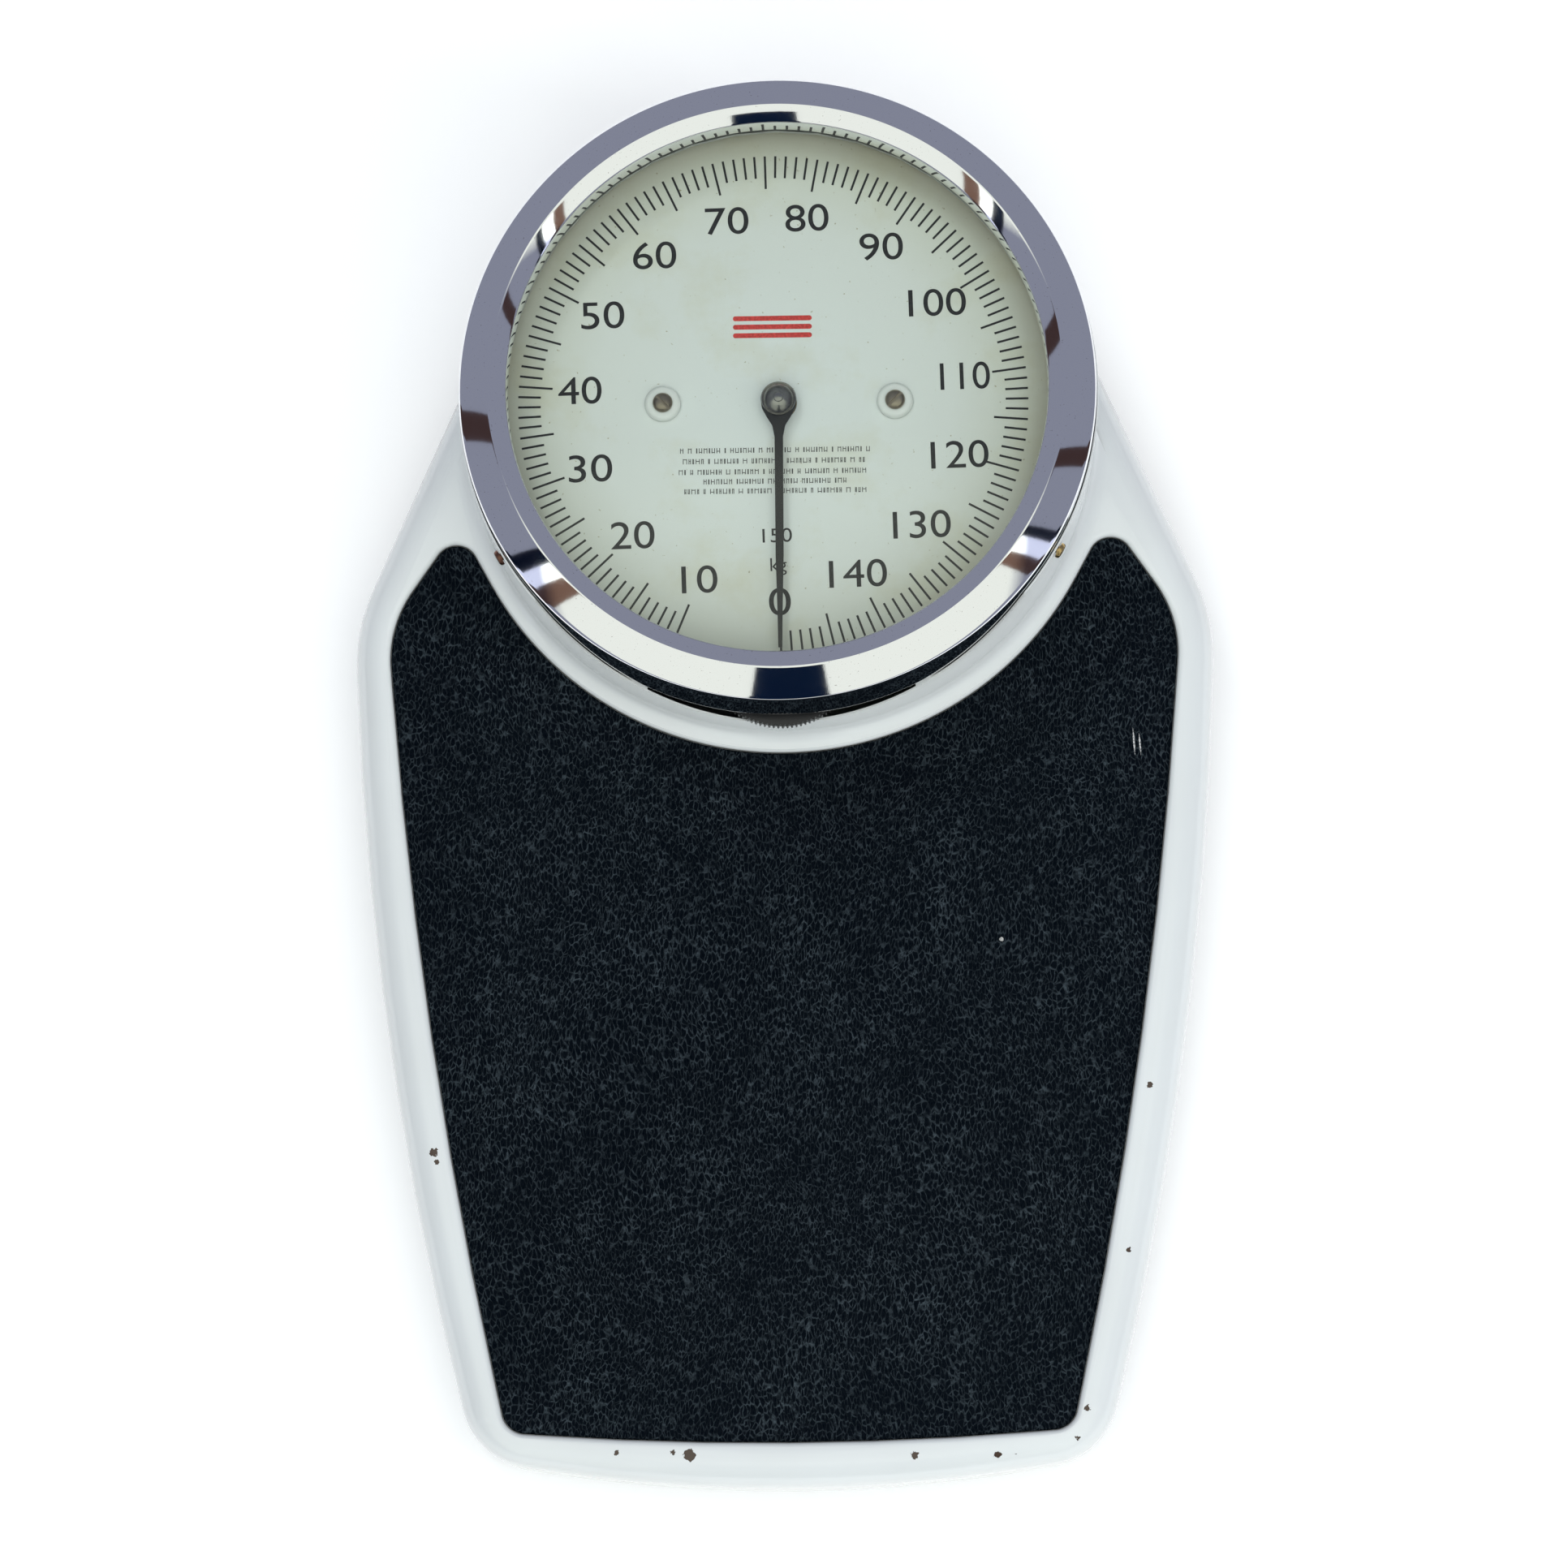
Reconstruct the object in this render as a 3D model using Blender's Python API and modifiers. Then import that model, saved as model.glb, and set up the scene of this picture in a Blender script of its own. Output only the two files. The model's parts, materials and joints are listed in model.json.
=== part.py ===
"""Mechanical dial floor scale: cast platform on levers, round chrome-rimmed dial, zero wheel.

Metres, +Z up. The scale stands on its four feet at z = 0, the heel end of the platform
faces -Y and the dial end faces +Y.
"""
import math

import bmesh
import bpy
from mathutils import Matrix, Vector

MM = 0.001
GAP = 0.3 * MM                 # clearance left between pieces that touch
ARC_STEP = math.radians(10)    # coarsest turn between two points of a rounded outline
ROUND = 40                     # sides of the large round pieces

# ---- driving dimensions -------------------------------------------------------------
DIAL_Y = 137 * MM              # pointer axis, from the middle of the footprint
CASING_BACK_R = 117 * MM       # casing wall around the dial end
CASING_BOTTOM = 12 * MM
RIM_TOP = 53 * MM              # crest of the rim round the tread mat
RIM_ROUND = 11 * MM            # how far the rim rounding reaches in from the wall
RIM_ROUND_HEIGHT = 12 * MM
WALL_DRAFT = 0.4 * MM
WALL = 4 * MM
DECK_TOP = 48.5 * MM           # floor of the recess that holds the mat
DECK_UNDER = 46 * MM
MAT_THICKNESS = 2.3 * MM

BOSS_BASE_R = 116.2 * MM       # raised wall round the dial
BOSS_TOP_R = 116.0 * MM
BOSS_TOP = 103.3 * MM
BOSS_BORE_R = 115.4 * MM
BOSS_WELL_R = 115.8 * MM       # hole in the deck, under the middle of the boss wall
BOSS_FOOT = 42.4 * MM
BOSS_FILLET = 6 * MM
SCOOP_BOTTOM = 74 * MM         # finger opening in front of the zero wheel
SCOOP_ARC_R = 147 * MM

BEZEL_R = 115 * MM
BEZEL_EDGE_Z = 113.5 * MM
BEZEL_RIDGE_R = 103.7 * MM
BEZEL_RIDGE_Z = 119.8 * MM
BEZEL_LIP_R = 97.5 * MM
BEZEL_LIP_Z = 117 * MM
BEZEL_SHEET = 1.3 * MM
BEZEL_SKIRT = 84.6 * MM        # lower edge of the bezel's deep side
BEZEL_SEAT_R = 108 * MM        # inward flange in the boss that the bezel stands on
LEDGE_R = 113.4 * MM           # ring inside the bezel that carries the glass
LEDGE_BORE_R = 98.5 * MM
LEDGE_UNDER = 101 * MM
LEDGE_TOP = 103.2 * MM
GLASS_R = 108 * MM
GLASS_THICKNESS = 2.4 * MM
GLASS_RISE = 8 * MM

DIAL_PLATE_R = 104 * MM
DIAL_PLATE_TOP = 88.5 * MM
DIAL_PLATE_THICKNESS = 1 * MM
DIAL_SCREW_X = 42.4 * MM

FOOT_HEIGHT = 8 * MM
TRAY_INSET = 8 * MM            # tray wall, in from the casing outline
TRAY_SHEET = 1.5 * MM
TRAY_WALL_TOP = 22 * MM
TRAY_FLOOR = FOOT_HEIGHT + TRAY_SHEET

HEEL_FULCRUM = Vector((86, -204, 26.5)) * MM
HEEL_LOAD_Y = -172 * MM
DIAL_FULCRUM = Vector((118, 97, 36)) * MM
DIAL_LOAD_Y = 65 * MM
NOSE_Y = 48.5 * MM             # lever nose, main spring and zero wheel share this place
SHORT_NOSE_Y = -54 * MM
CRANK_PIVOT = Vector((10, 72, 42)) * MM
CRANK_INPUT_Y = 50.5 * MM
RACK_PIN_Z = 69 * MM
WHEEL_R = 30 * MM
WHEEL_BOTTOM = 75.8 * MM
WHEEL_TEETH = 48

# Outline corners as (x, y, fillet radius) for the +X half, from the dial end to the heel.
SHOULDER_SLOPE = math.radians(23.8)
CASING_CORNERS = [
    (0, DIAL_Y + CASING_BACK_R / math.sin(SHOULDER_SLOPE), CASING_BACK_R),
    (160.2 * MM, 64 * MM, 70 * MM),
    (153.7 * MM, -92.4 * MM, 1275 * MM),
    (114.3 * MM, -243.7 * MM, 28 * MM),
    (0, -262 * MM, 560 * MM),
]
MAT_ARC_R = 123 * MM
MAT_CORNERS = [
    (0, -119.9 * MM, MAT_ARC_R),
    (120.5 * MM, 101 * MM, 8.3 * MM),
    (146.8 * MM, 63 * MM, 45 * MM),
    (134.3 * MM, -91.3 * MM, 1900 * MM),
    (102.4 * MM, -234.1 * MM, 9 * MM),
    (0, -241.8 * MM, 1200 * MM),
]

# finish: base colour, roughness, metallic
ENAMEL = ((0.86, 0.87, 0.83), 0.22, 0.0)
CHROME = ((0.80, 0.80, 0.82), 0.06, 1.0)
LEATHERETTE = ((0.012, 0.014, 0.017), 0.48, 0.0)
GLASS = ((0.95, 0.98, 0.97), 0.02, 0.0)
DIAL_WHITE = ((0.74, 0.77, 0.70), 0.45, 0.0)
BLACK_PAINT = ((0.015, 0.015, 0.016), 0.40, 0.0)
BLACK_PLASTIC = ((0.02, 0.02, 0.022), 0.35, 0.0)
WHITE_PLASTIC = ((0.85, 0.87, 0.85), 0.30, 0.0)
RUBBER = ((0.03, 0.03, 0.03), 0.80, 0.0)
ZINC = ((0.55, 0.56, 0.57), 0.38, 1.0)
STEEL = ((0.48, 0.48, 0.50), 0.30, 1.0)
SPRING_STEEL = ((0.25, 0.25, 0.27), 0.35, 1.0)
BRASS = ((0.72, 0.53, 0.24), 0.28, 1.0)
GREY_PAINT = ((0.34, 0.36, 0.37), 0.50, 0.0)


# ---- scene helpers ------------------------------------------------------------------
def clear_scene():
    for obj in list(bpy.data.objects):
        bpy.data.objects.remove(obj, do_unlink=True)


def new_collection(name):
    collection = bpy.data.collections.new(name)
    bpy.context.scene.collection.children.link(collection)
    return collection


def finish_material(name, finish):
    colour, roughness, metallic = finish
    material = bpy.data.materials.new(name + "_finish")
    material.use_nodes = True
    shader = material.node_tree.nodes["Principled BSDF"]
    shader.inputs["Base Color"].default_value = (*colour, 1.0)
    shader.inputs["Roughness"].default_value = roughness
    shader.inputs["Metallic"].default_value = metallic
    return material


def piece(obj, name, finish):
    """Names a finished shape, gives it its finish and files it with the scale's parts."""
    obj.name = name
    obj.data.name = name
    obj.data.materials.clear()
    obj.data.materials.append(finish_material(name, finish))
    CUTTERS.objects.unlink(obj)
    PARTS.objects.link(obj)
    obj.hide_render = False
    obj.display_type = "TEXTURED"
    return obj


def raw(name, mesh, place=(0, 0, 0), turn=(0, 0, 0)):
    """A shape in the cutters' collection, until piece() makes it a part."""
    obj = bpy.data.objects.new(name, mesh)
    obj.location = place
    obj.rotation_euler = turn
    obj.hide_render = True
    obj.display_type = "WIRE"
    CUTTERS.objects.link(obj)
    return obj


def from_bmesh(name, bm, place=(0, 0, 0), turn=(0, 0, 0)):
    mesh = bpy.data.meshes.new(name)
    bm.to_mesh(mesh)
    bm.free()
    return raw(name, mesh, place, turn)


def box(low, high, name="box"):
    """An axis-aligned block between two corners."""
    low, high = Vector(low), Vector(high)
    bm = bmesh.new()
    size = high - low
    bmesh.ops.create_cube(bm, size=1.0, matrix=Matrix.Diagonal((*size, 1.0)))
    return from_bmesh(name, bm, (low + high) / 2)


def rod(radius, start, end, name="rod", sides=20, end_radius=None):
    """A round bar, or a cone, between two points."""
    start, end = Vector(start), Vector(end)
    along = end - start
    bm = bmesh.new()
    bmesh.ops.create_cone(bm, cap_ends=True, segments=sides, radius1=radius,
                          radius2=radius if end_radius is None else end_radius,
                          depth=along.length)
    turn = along.to_track_quat("Z", "Y").to_euler()
    return from_bmesh(name, bm, (start + end) / 2, turn)


def turned(profile, name="turned", place=(0, 0, 0), steps=48, closed=False):
    """A profile of (radius, height) swept round Z, outer side running downwards."""
    mesh = bpy.data.meshes.new(name)
    count = len(profile)
    edges = [(i, i + 1) for i in range(count - 1)]
    if closed:
        edges.append((count - 1, 0))
    mesh.from_pydata([(r, 0, z) for r, z in profile], edges, [])
    obj = raw(name, mesh, place)
    screw = obj.modifiers.new("turn", "SCREW")
    screw.steps = screw.render_steps = steps
    screw.use_merge_vertices = True
    screw.merge_threshold = 0.00001
    screw.use_smooth_shade = True
    return obj


def prism(outline, bottom, top, name="prism"):
    """A flat outline raised between two heights, as a closed mesh."""
    curve = bpy.data.curves.new(name, "CURVE")
    curve.dimensions = "2D"
    curve.fill_mode = "BOTH"
    curve.extrude = (top - bottom) / 2
    spline = curve.splines.new("POLY")
    spline.points.add(len(outline) - 1)
    for point, (x, y) in zip(spline.points, outline):
        point.co = (x, y, 0, 1)
    spline.use_cyclic_u = True
    guide = raw(name, curve, (0, 0, (bottom + top) / 2))
    return mesh_from_curve(guide, name)


def mesh_from_curve(guide, name):
    bpy.context.view_layer.update()
    evaluated = guide.evaluated_get(bpy.context.evaluated_depsgraph_get())
    mesh = bpy.data.meshes.new_from_object(evaluated)
    bm = bmesh.new()
    bm.from_mesh(mesh)
    bmesh.ops.remove_doubles(bm, verts=bm.verts, dist=0.000001)
    bmesh.ops.recalc_face_normals(bm, faces=bm.faces)
    bm.to_mesh(mesh)
    bm.free()
    obj = raw(name, mesh)
    obj.matrix_world = guide.matrix_world
    bpy.data.objects.remove(guide, do_unlink=True)
    return obj


def loft(loops, name="loft"):
    """Closed skin over a stack of outlines that have the same number of points."""
    bm = bmesh.new()
    rings = [[bm.verts.new(point) for point in loop] for loop in loops]
    for lower, upper in zip(rings, rings[1:]):
        for i, vertex in enumerate(lower):
            nxt = (i + 1) % len(lower)
            bm.faces.new((vertex, lower[nxt], upper[nxt], upper[i]))
    bm.faces.new(rings[0])
    bm.faces.new(rings[-1])
    bmesh.ops.recalc_face_normals(bm, faces=bm.faces)
    return from_bmesh(name, bm)


def boolean(target, other, operation):
    step = target.modifiers.new(operation.lower(), "BOOLEAN")
    step.operation = operation
    step.solver = "EXACT"
    step.object = other
    return target


def cut(target, *others):
    for other in others:
        boolean(target, other, "DIFFERENCE")
    return target


def join(target, *others):
    for other in others:
        boolean(target, other, "UNION")
    return target


# ---- outlines -----------------------------------------------------------------------
def both_halves(corners):
    """Mirrors the +X corners to a full loop, counter-clockwise or clockwise as given."""
    return corners + [(-x, y, r) for x, y, r in reversed(corners) if x > 0]


def rounded(corners):
    """Points of a polygon whose corners are replaced by arcs of the given radii."""
    points = []
    count = len(corners)
    for i, (x, y, radius) in enumerate(corners):
        here = Vector((x, y))
        before = (Vector(corners[i - 1][:2]) - here).normalized()
        after = (Vector(corners[(i + 1) % count][:2]) - here).normalized()
        if radius <= 0:
            points.append((x, y))
            continue
        half = before.angle(after) / 2
        centre = here + (before + after).normalized() * radius / math.sin(half)
        start = here + before * radius / math.tan(half) - centre
        sweep = math.pi - 2 * half
        if start.y * before.x - start.x * before.y < 0:
            sweep = -sweep
        steps = max(3, math.ceil(abs(sweep) / ARC_STEP))
        for k in range(steps + 1):
            angle = sweep * k / steps
            spoke = Matrix.Rotation(angle, 2) @ start
            points.append(tuple(centre + spoke))
    return points


def inset(corners, distance):
    """The same rounded polygon with every side moved inwards and its radii to suit."""
    count = len(corners)
    flat = [Vector(c[:2]) for c in corners]
    area = sum(a.x * b.y - a.y * b.x for a, b in zip(flat, flat[1:] + flat[:1]))
    side = 1 if area > 0 else -1
    moved = []
    for i, here in enumerate(flat):
        before = (here - flat[i - 1]).normalized()
        after = (flat[(i + 1) % count] - here).normalized()
        normal_before = Vector((-before.y, before.x)) * side
        normal_after = Vector((-after.y, after.x)) * side
        mid = (normal_before + normal_after).normalized()
        corner = here + mid * distance / mid.dot(normal_before)
        convex = (before.x * after.y - before.y * after.x) * side > 0
        radius = corners[i][2] - distance if convex else corners[i][2] + distance
        moved.append((corner.x, corner.y, radius))
    return moved


def casing_outline(distance):
    return rounded(inset(both_halves(CASING_CORNERS), distance))


def mat_outline(distance):
    return rounded(inset(both_halves(MAT_CORNERS), distance))


def bar_outline(start, end, width):
    """Plan of a straight strip between two points."""
    start, end = Vector(start), Vector(end)
    along = (end - start).normalized()
    across = Vector((-along.y, along.x)) * width / 2
    return [tuple(p) for p in (start - across, end - across, end + across, start + across)]


# ---- platform assembly --------------------------------------------------------------
def rim_section():
    """(inset, height) pairs up the casing wall and over the rounded rim."""
    spring_line = RIM_TOP - RIM_ROUND_HEIGHT
    section = [(0, CASING_BOTTOM), (WALL_DRAFT, spring_line)]
    steps = 4
    for k in range(1, steps + 1):
        angle = math.pi / 2 * k / steps
        section.append((WALL_DRAFT + RIM_ROUND * (1 - math.cos(angle)),
                        spring_line + RIM_ROUND_HEIGHT * math.sin(angle)))
    return section


def boss_profile():
    """Thin wall under the dial, with an inward flange for the bezel to stand on."""
    seat = BEZEL_SKIRT - GAP
    return [(BOSS_TOP_R, BOSS_TOP), (BOSS_BASE_R, RIM_TOP), (BOSS_BASE_R, BOSS_FOOT),
            (BOSS_BORE_R, BOSS_FOOT), (BOSS_BORE_R, seat - 2 * MM), (BEZEL_SEAT_R, seat - 2 * MM),
            (BEZEL_SEAT_R, seat), (BOSS_BORE_R, seat), (BOSS_BORE_R, BOSS_TOP)]


def fillet_profile():
    """Concave ring that blends the foot of the boss into the platform."""
    bottom = RIM_TOP - BOSS_FILLET / 2
    profile = [(BOSS_WELL_R, RIM_TOP + BOSS_FILLET), (BOSS_BASE_R, RIM_TOP + BOSS_FILLET)]
    steps = 3
    for k in range(1, steps + 1):
        angle = math.pi / 2 * k / steps
        profile.append((BOSS_BASE_R + BOSS_FILLET * (1 - math.cos(angle)),
                        RIM_TOP + BOSS_FILLET * (1 - math.sin(angle))))
    profile += [(BOSS_BASE_R + BOSS_FILLET, bottom), (BOSS_WELL_R, bottom)]
    return profile


def scoop_cutter():
    """Circular-segment notch in the front of the boss wall."""
    axis_z = SCOOP_BOTTOM + SCOOP_ARC_R
    top = BOSS_TOP + 1 * MM
    half = math.acos((axis_z - top) / SCOOP_ARC_R)
    steps = 16
    outline = []
    for k in range(steps + 1):
        angle = -half + 2 * half * k / steps
        outline.append((SCOOP_ARC_R * math.sin(angle), axis_z - SCOOP_ARC_R * math.cos(angle)))
    cutter = prism(outline, -60 * MM, 10 * MM, "scoop")
    cutter.rotation_euler = (math.pi / 2, 0, 0)
    cutter.location = (0, DIAL_Y - 85 * MM, 0)
    return cutter


def platform_casing():
    dial = (0, DIAL_Y, 0)
    loops = [[(x, y, z) for x, y in casing_outline(d)] for d, z in rim_section()]
    casing = loft(loops, "slab")
    cavity = prism(casing_outline(WALL), -5 * MM, DECK_UNDER, "cavity")
    recess = prism(mat_outline(0), DECK_TOP, RIM_TOP + 20 * MM, "recess")
    well = rod(BOSS_WELL_R, (0, DIAL_Y, BOSS_FOOT + 1.4 * MM), (0, DIAL_Y, RIM_TOP + 5 * MM),
               "well", ROUND)
    cut(casing, cavity, recess, well)
    boss = turned(boss_profile(), "boss", dial, ROUND, True)
    fillet = turned(fillet_profile(), "fillet", dial, ROUND, True)
    keep = prism(casing_outline(WALL_DRAFT + RIM_ROUND), RIM_TOP - 20 * MM, RIM_TOP + 20 * MM,
                 "fillet_keep")
    boolean(fillet, keep, "INTERSECT")
    join(casing, boss, fillet)
    cut(casing, scoop_cutter())
    cut(casing, *[screw_bore(angle, 1.8 * MM) for angle in BEZEL_SCREW_ANGLES])
    return piece(casing, "platform_casing", ENAMEL)


def tread_mat():
    mat = prism(mat_outline(GAP), DECK_TOP + GAP, DECK_TOP + MAT_THICKNESS)
    return piece(mat, "tread_mat", LEATHERETTE)


def load_posts():
    """Short posts under the deck that press on the levers' load pins."""
    pin_top_long = HEEL_FULCRUM.z + 3 * MM + GAP
    pin_top_short = DIAL_FULCRUM.z + 3 * MM + GAP
    for side, word in ((-1, "left"), (1, "right")):
        for end, x, y, bottom in (("heel", 86, HEEL_LOAD_Y, pin_top_long),
                                  ("dial", 119, DIAL_LOAD_Y, pin_top_short)):
            centre = Vector((side * x * MM, y, 0))
            post = box(centre + Vector((-5, -6, 0)) * MM + Vector((0, 0, bottom)),
                       centre + Vector((5, 6, 0)) * MM + Vector((0, 0, DECK_UNDER - GAP)))
            piece(post, f"load_post_{end}_{word}", STEEL)


def bezel():
    """Pressed ring: deep side, two cones meeting in a ridge, and an inner wall."""
    t = BEZEL_SHEET
    wall_bottom = LEDGE_TOP + 4.6 * MM
    profile = [
        (BEZEL_LIP_R, BEZEL_LIP_Z), (BEZEL_LIP_R + 0.6 * MM, BEZEL_LIP_Z + 0.5 * MM),
        (BEZEL_RIDGE_R - 0.4 * MM, BEZEL_RIDGE_Z), (BEZEL_RIDGE_R + 0.4 * MM, BEZEL_RIDGE_Z),
        (BEZEL_R - 0.7 * MM, BEZEL_EDGE_Z + 0.2 * MM), (BEZEL_R, BEZEL_EDGE_Z - 0.5 * MM),
        (BEZEL_R, BEZEL_SKIRT), (BEZEL_R - t, BEZEL_SKIRT),
        (BEZEL_R - t, BEZEL_EDGE_Z - t), (BEZEL_RIDGE_R, BEZEL_RIDGE_Z - 1.4 * t),
        (BEZEL_LIP_R + t, BEZEL_LIP_Z - t), (BEZEL_LIP_R + t, wall_bottom),
        (BEZEL_LIP_R, wall_bottom),
    ]
    ring = turned(profile, "ring", (0, DIAL_Y, 0), steps=ROUND, closed=True)
    cut(ring, *[screw_bore(angle, 1.8 * MM) for angle in BEZEL_SCREW_ANGLES])
    return piece(ring, "bezel", CHROME)


def glass_ledge():
    """Ring inside the bezel, held by the same three screws, that carries the glass."""
    profile = [(LEDGE_R, LEDGE_TOP), (LEDGE_R, 95 * MM), (LEDGE_R - BEZEL_SHEET, 95 * MM),
               (LEDGE_R - BEZEL_SHEET, LEDGE_UNDER), (LEDGE_BORE_R, LEDGE_UNDER),
               (LEDGE_BORE_R, LEDGE_TOP)]
    ring = turned(profile, "ledge", (0, DIAL_Y, 0), ROUND, True)
    cut(ring, *[screw_bore(angle, 1.8 * MM) for angle in BEZEL_SCREW_ANGLES])
    return piece(ring, "glass_ledge", ZINC)


BEZEL_SCREW_ANGLES = [math.radians(a) for a in (90, 210, 330)]
BEZEL_SCREW_Z = 98 * MM


def screw_bore(angle, radius):
    out = Vector((math.cos(angle), math.sin(angle), 0))
    centre = Vector((0, DIAL_Y, BEZEL_SCREW_Z))
    return rod(radius, centre + out * 108 * MM, centre + out * 120 * MM, "screw_bore", 10)


def bezel_screws():
    for angle, word in zip(BEZEL_SCREW_ANGLES, ("top", "left", "right")):
        out = Vector((math.cos(angle), math.sin(angle), 0))
        centre = Vector((0, DIAL_Y, BEZEL_SCREW_Z))
        shank = rod(1.4 * MM, centre + out * 110.5 * MM, centre + out * 117.5 * MM, sides=12)
        head = rod(3 * MM, centre + out * (BOSS_BASE_R + GAP), centre + out * 118 * MM,
                   sides=20, end_radius=2.7 * MM)
        slot = box((-0.8 * MM, -0.35 * MM, -4 * MM), (0.8 * MM, 0.35 * MM, 4 * MM))
        slot.location = centre + out * 118 * MM
        slot.rotation_euler = (0.5, 0, angle)
        piece(cut(join(head, shank), slot), f"bezel_screw_{word}", BRASS)


def glass_and_gasket():
    gasket = turned([(107.5 * MM, 105 * MM), (107.5 * MM, LEDGE_TOP + GAP),
                     (99.5 * MM, LEDGE_TOP + GAP), (99.5 * MM, 105 * MM)],
                    "gasket", (0, DIAL_Y, 0), steps=ROUND, closed=True)
    piece(gasket, "glass_gasket", RUBBER)
    edge_z = 105.2 * MM
    steps = 4
    bend_r = (GLASS_R ** 2 + GLASS_RISE ** 2) / (2 * GLASS_RISE)

    def dome(radius):
        return math.sqrt(bend_r ** 2 - radius ** 2) - (bend_r - GLASS_RISE)

    flat_r = 98.5 * MM

    def height(radius):
        return max(0.0, dome(radius) - dome(flat_r)) if radius < flat_r else 0.0

    radii = [flat_r * k / steps for k in range(steps + 1)] + [GLASS_R]
    upper = [(r, edge_z + GLASS_THICKNESS + height(r)) for r in radii]
    lower = [(r, edge_z + height(r)) for r in reversed(radii)]
    piece(turned(upper + lower, "lens", (0, DIAL_Y, 0), steps=ROUND), "dial_glass", GLASS)


# ---- dial and pointer ---------------------------------------------------------------
def dial_group():
    top = DIAL_PLATE_TOP
    under = top - DIAL_PLATE_THICKNESS
    plate = rod(DIAL_PLATE_R, (0, DIAL_Y, under), (0, DIAL_Y, top), "plate", ROUND)
    cut(plate, rod(6.5 * MM, (0, DIAL_Y, under - 1 * MM), (0, DIAL_Y, top + 1 * MM)))
    for side, word in ((-1, "left"), (1, "right")):
        at = Vector((side * DIAL_SCREW_X, DIAL_Y, 0))
        hole = rod(3.8 * MM, at + Vector((0, 0, under - 1 * MM)), at + Vector((0, 0, top + 1 * MM)))
        cut(plate, hole)
        bushing = turned([(2.1 * MM, top + 2.4 * MM), (5.6 * MM, top + 2.4 * MM),
                          (6.6 * MM, top + 1.4 * MM), (6.6 * MM, top + GAP),
                          (3.4 * MM, top + GAP), (3.4 * MM, under + 0.1 * MM),
                          (2.1 * MM, under + 0.1 * MM)], "bushing", at, 16, True)
        piece(bushing, f"dial_bushing_{word}", WHITE_PLASTIC)
        pillar = rod(5 * MM, at + Vector((0, 0, BRACKET_TOP + GAP)),
                     at + Vector((0, 0, under - GAP)), "pillar", 20)
        cut(pillar, rod(2.1 * MM, at + Vector((0, 0, under - 8 * MM)),
                        at + Vector((0, 0, under + 1 * MM)), sides=12))
        piece(pillar, f"dial_pillar_{word}", ZINC)
        head = turned([(0, top + 4.4 * MM), (2.6 * MM, top + 4.2 * MM), (3.6 * MM, top + 3.5 * MM),
                       (3.6 * MM, top + 2.7 * MM), (1.7 * MM, top + 2.7 * MM),
                       (1.7 * MM, under - 6 * MM), (0, under - 6 * MM)], "screw", at, 16)
        slot = box((-4 * MM, -0.5 * MM, -0.9 * MM), (4 * MM, 0.5 * MM, 0.9 * MM))
        slot.location = at + Vector((0, 0, top + 4.4 * MM))
        slot.rotation_euler = (0, 0, 0.7 * side)
        piece(cut(head, slot), f"dial_screw_{word}", STEEL)
    piece(plate, "dial_plate", DIAL_WHITE)


POINTER_Z = 94 * MM
SHAFT_R = 1.5 * MM


def pointer_group():
    """Everything that turns with the pinion, each with its origin on the pointer axis."""
    axis = Vector((0, DIAL_Y, 0))

    def at(z):
        return axis + Vector((0, 0, z))

    piece(rod(SHAFT_R, at(51 * MM), at(97 * MM), "shaft", 16), "pointer_shaft", STEEL)
    tooth = []
    for k in range(10):
        for offset, radius in ((-0.30, 1.9), (-0.14, 2.4), (0.14, 2.4), (0.30, 1.9)):
            angle = math.tau * (k + offset) / 10
            tooth.append((radius * MM * math.cos(angle), DIAL_Y + radius * MM * math.sin(angle)))
    gear = prism(tooth, 62 * MM, 72 * MM)
    cut(gear, rod(SHAFT_R + 0.05 * MM, at(60 * MM), at(74 * MM), sides=16))
    piece(gear, "pinion", BRASS)
    needle = [(-6.2, 3.0), (-6.2, -2.6), (-3.4, -6.4), (-1.5, -12), (-1.4, -60), (-0.75, -92)]
    outline = [(x * MM, DIAL_Y + y * MM) for x, y in needle]
    outline += [(-x, y) for x, y in reversed(outline)]
    outline += [(6.2 * MM * math.cos(a), DIAL_Y + 3 * MM + 5 * MM * math.sin(a))
                for a in (math.pi * k / 8 for k in range(1, 8))]
    arm = prism(outline, POINTER_Z, POINTER_Z + 0.8 * MM)
    cut(arm, rod(SHAFT_R + 0.05 * MM, at(90 * MM), at(99 * MM), sides=16))
    piece(arm, "pointer", BLACK_PAINT)
    z = POINTER_Z + 0.8 * MM + GAP
    cap = turned([(0, z + 4.2 * MM), (1.7 * MM, z + 4.2 * MM), (1.9 * MM, z + 3.3 * MM),
                  (4.0 * MM, z + 2.9 * MM), (5.6 * MM, z + 1.9 * MM), (6.3 * MM, z + 0.6 * MM),
                  (6.3 * MM, z), (SHAFT_R + 0.1 * MM, z),
                  (SHAFT_R + 0.1 * MM, 97 * MM + 0.2 * MM), (0, 97 * MM + 0.2 * MM)],
                 "cap", axis, 20)
    piece(cap, "hub_cap", CHROME)


# ---- base ---------------------------------------------------------------------------
FOOT_PLACES = {"heel_left": (-86, -204), "heel_right": (86, -204),
               "dial_left": (-118, 97), "dial_right": (118, 97)}


def base_tray():
    tray = prism(casing_outline(TRAY_INSET), FOOT_HEIGHT, TRAY_WALL_TOP)
    pocket = prism(casing_outline(TRAY_INSET + TRAY_SHEET), TRAY_FLOOR, TRAY_WALL_TOP + 5 * MM)
    cut(tray, pocket)
    for x, y in FOOT_PLACES.values():
        at = Vector((x, y, 0)) * MM
        cut(tray, rod(2.4 * MM, at, at + Vector((0, 0, 20 * MM)), sides=16))
    return piece(tray, "base_tray", GREY_PAINT)


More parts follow.
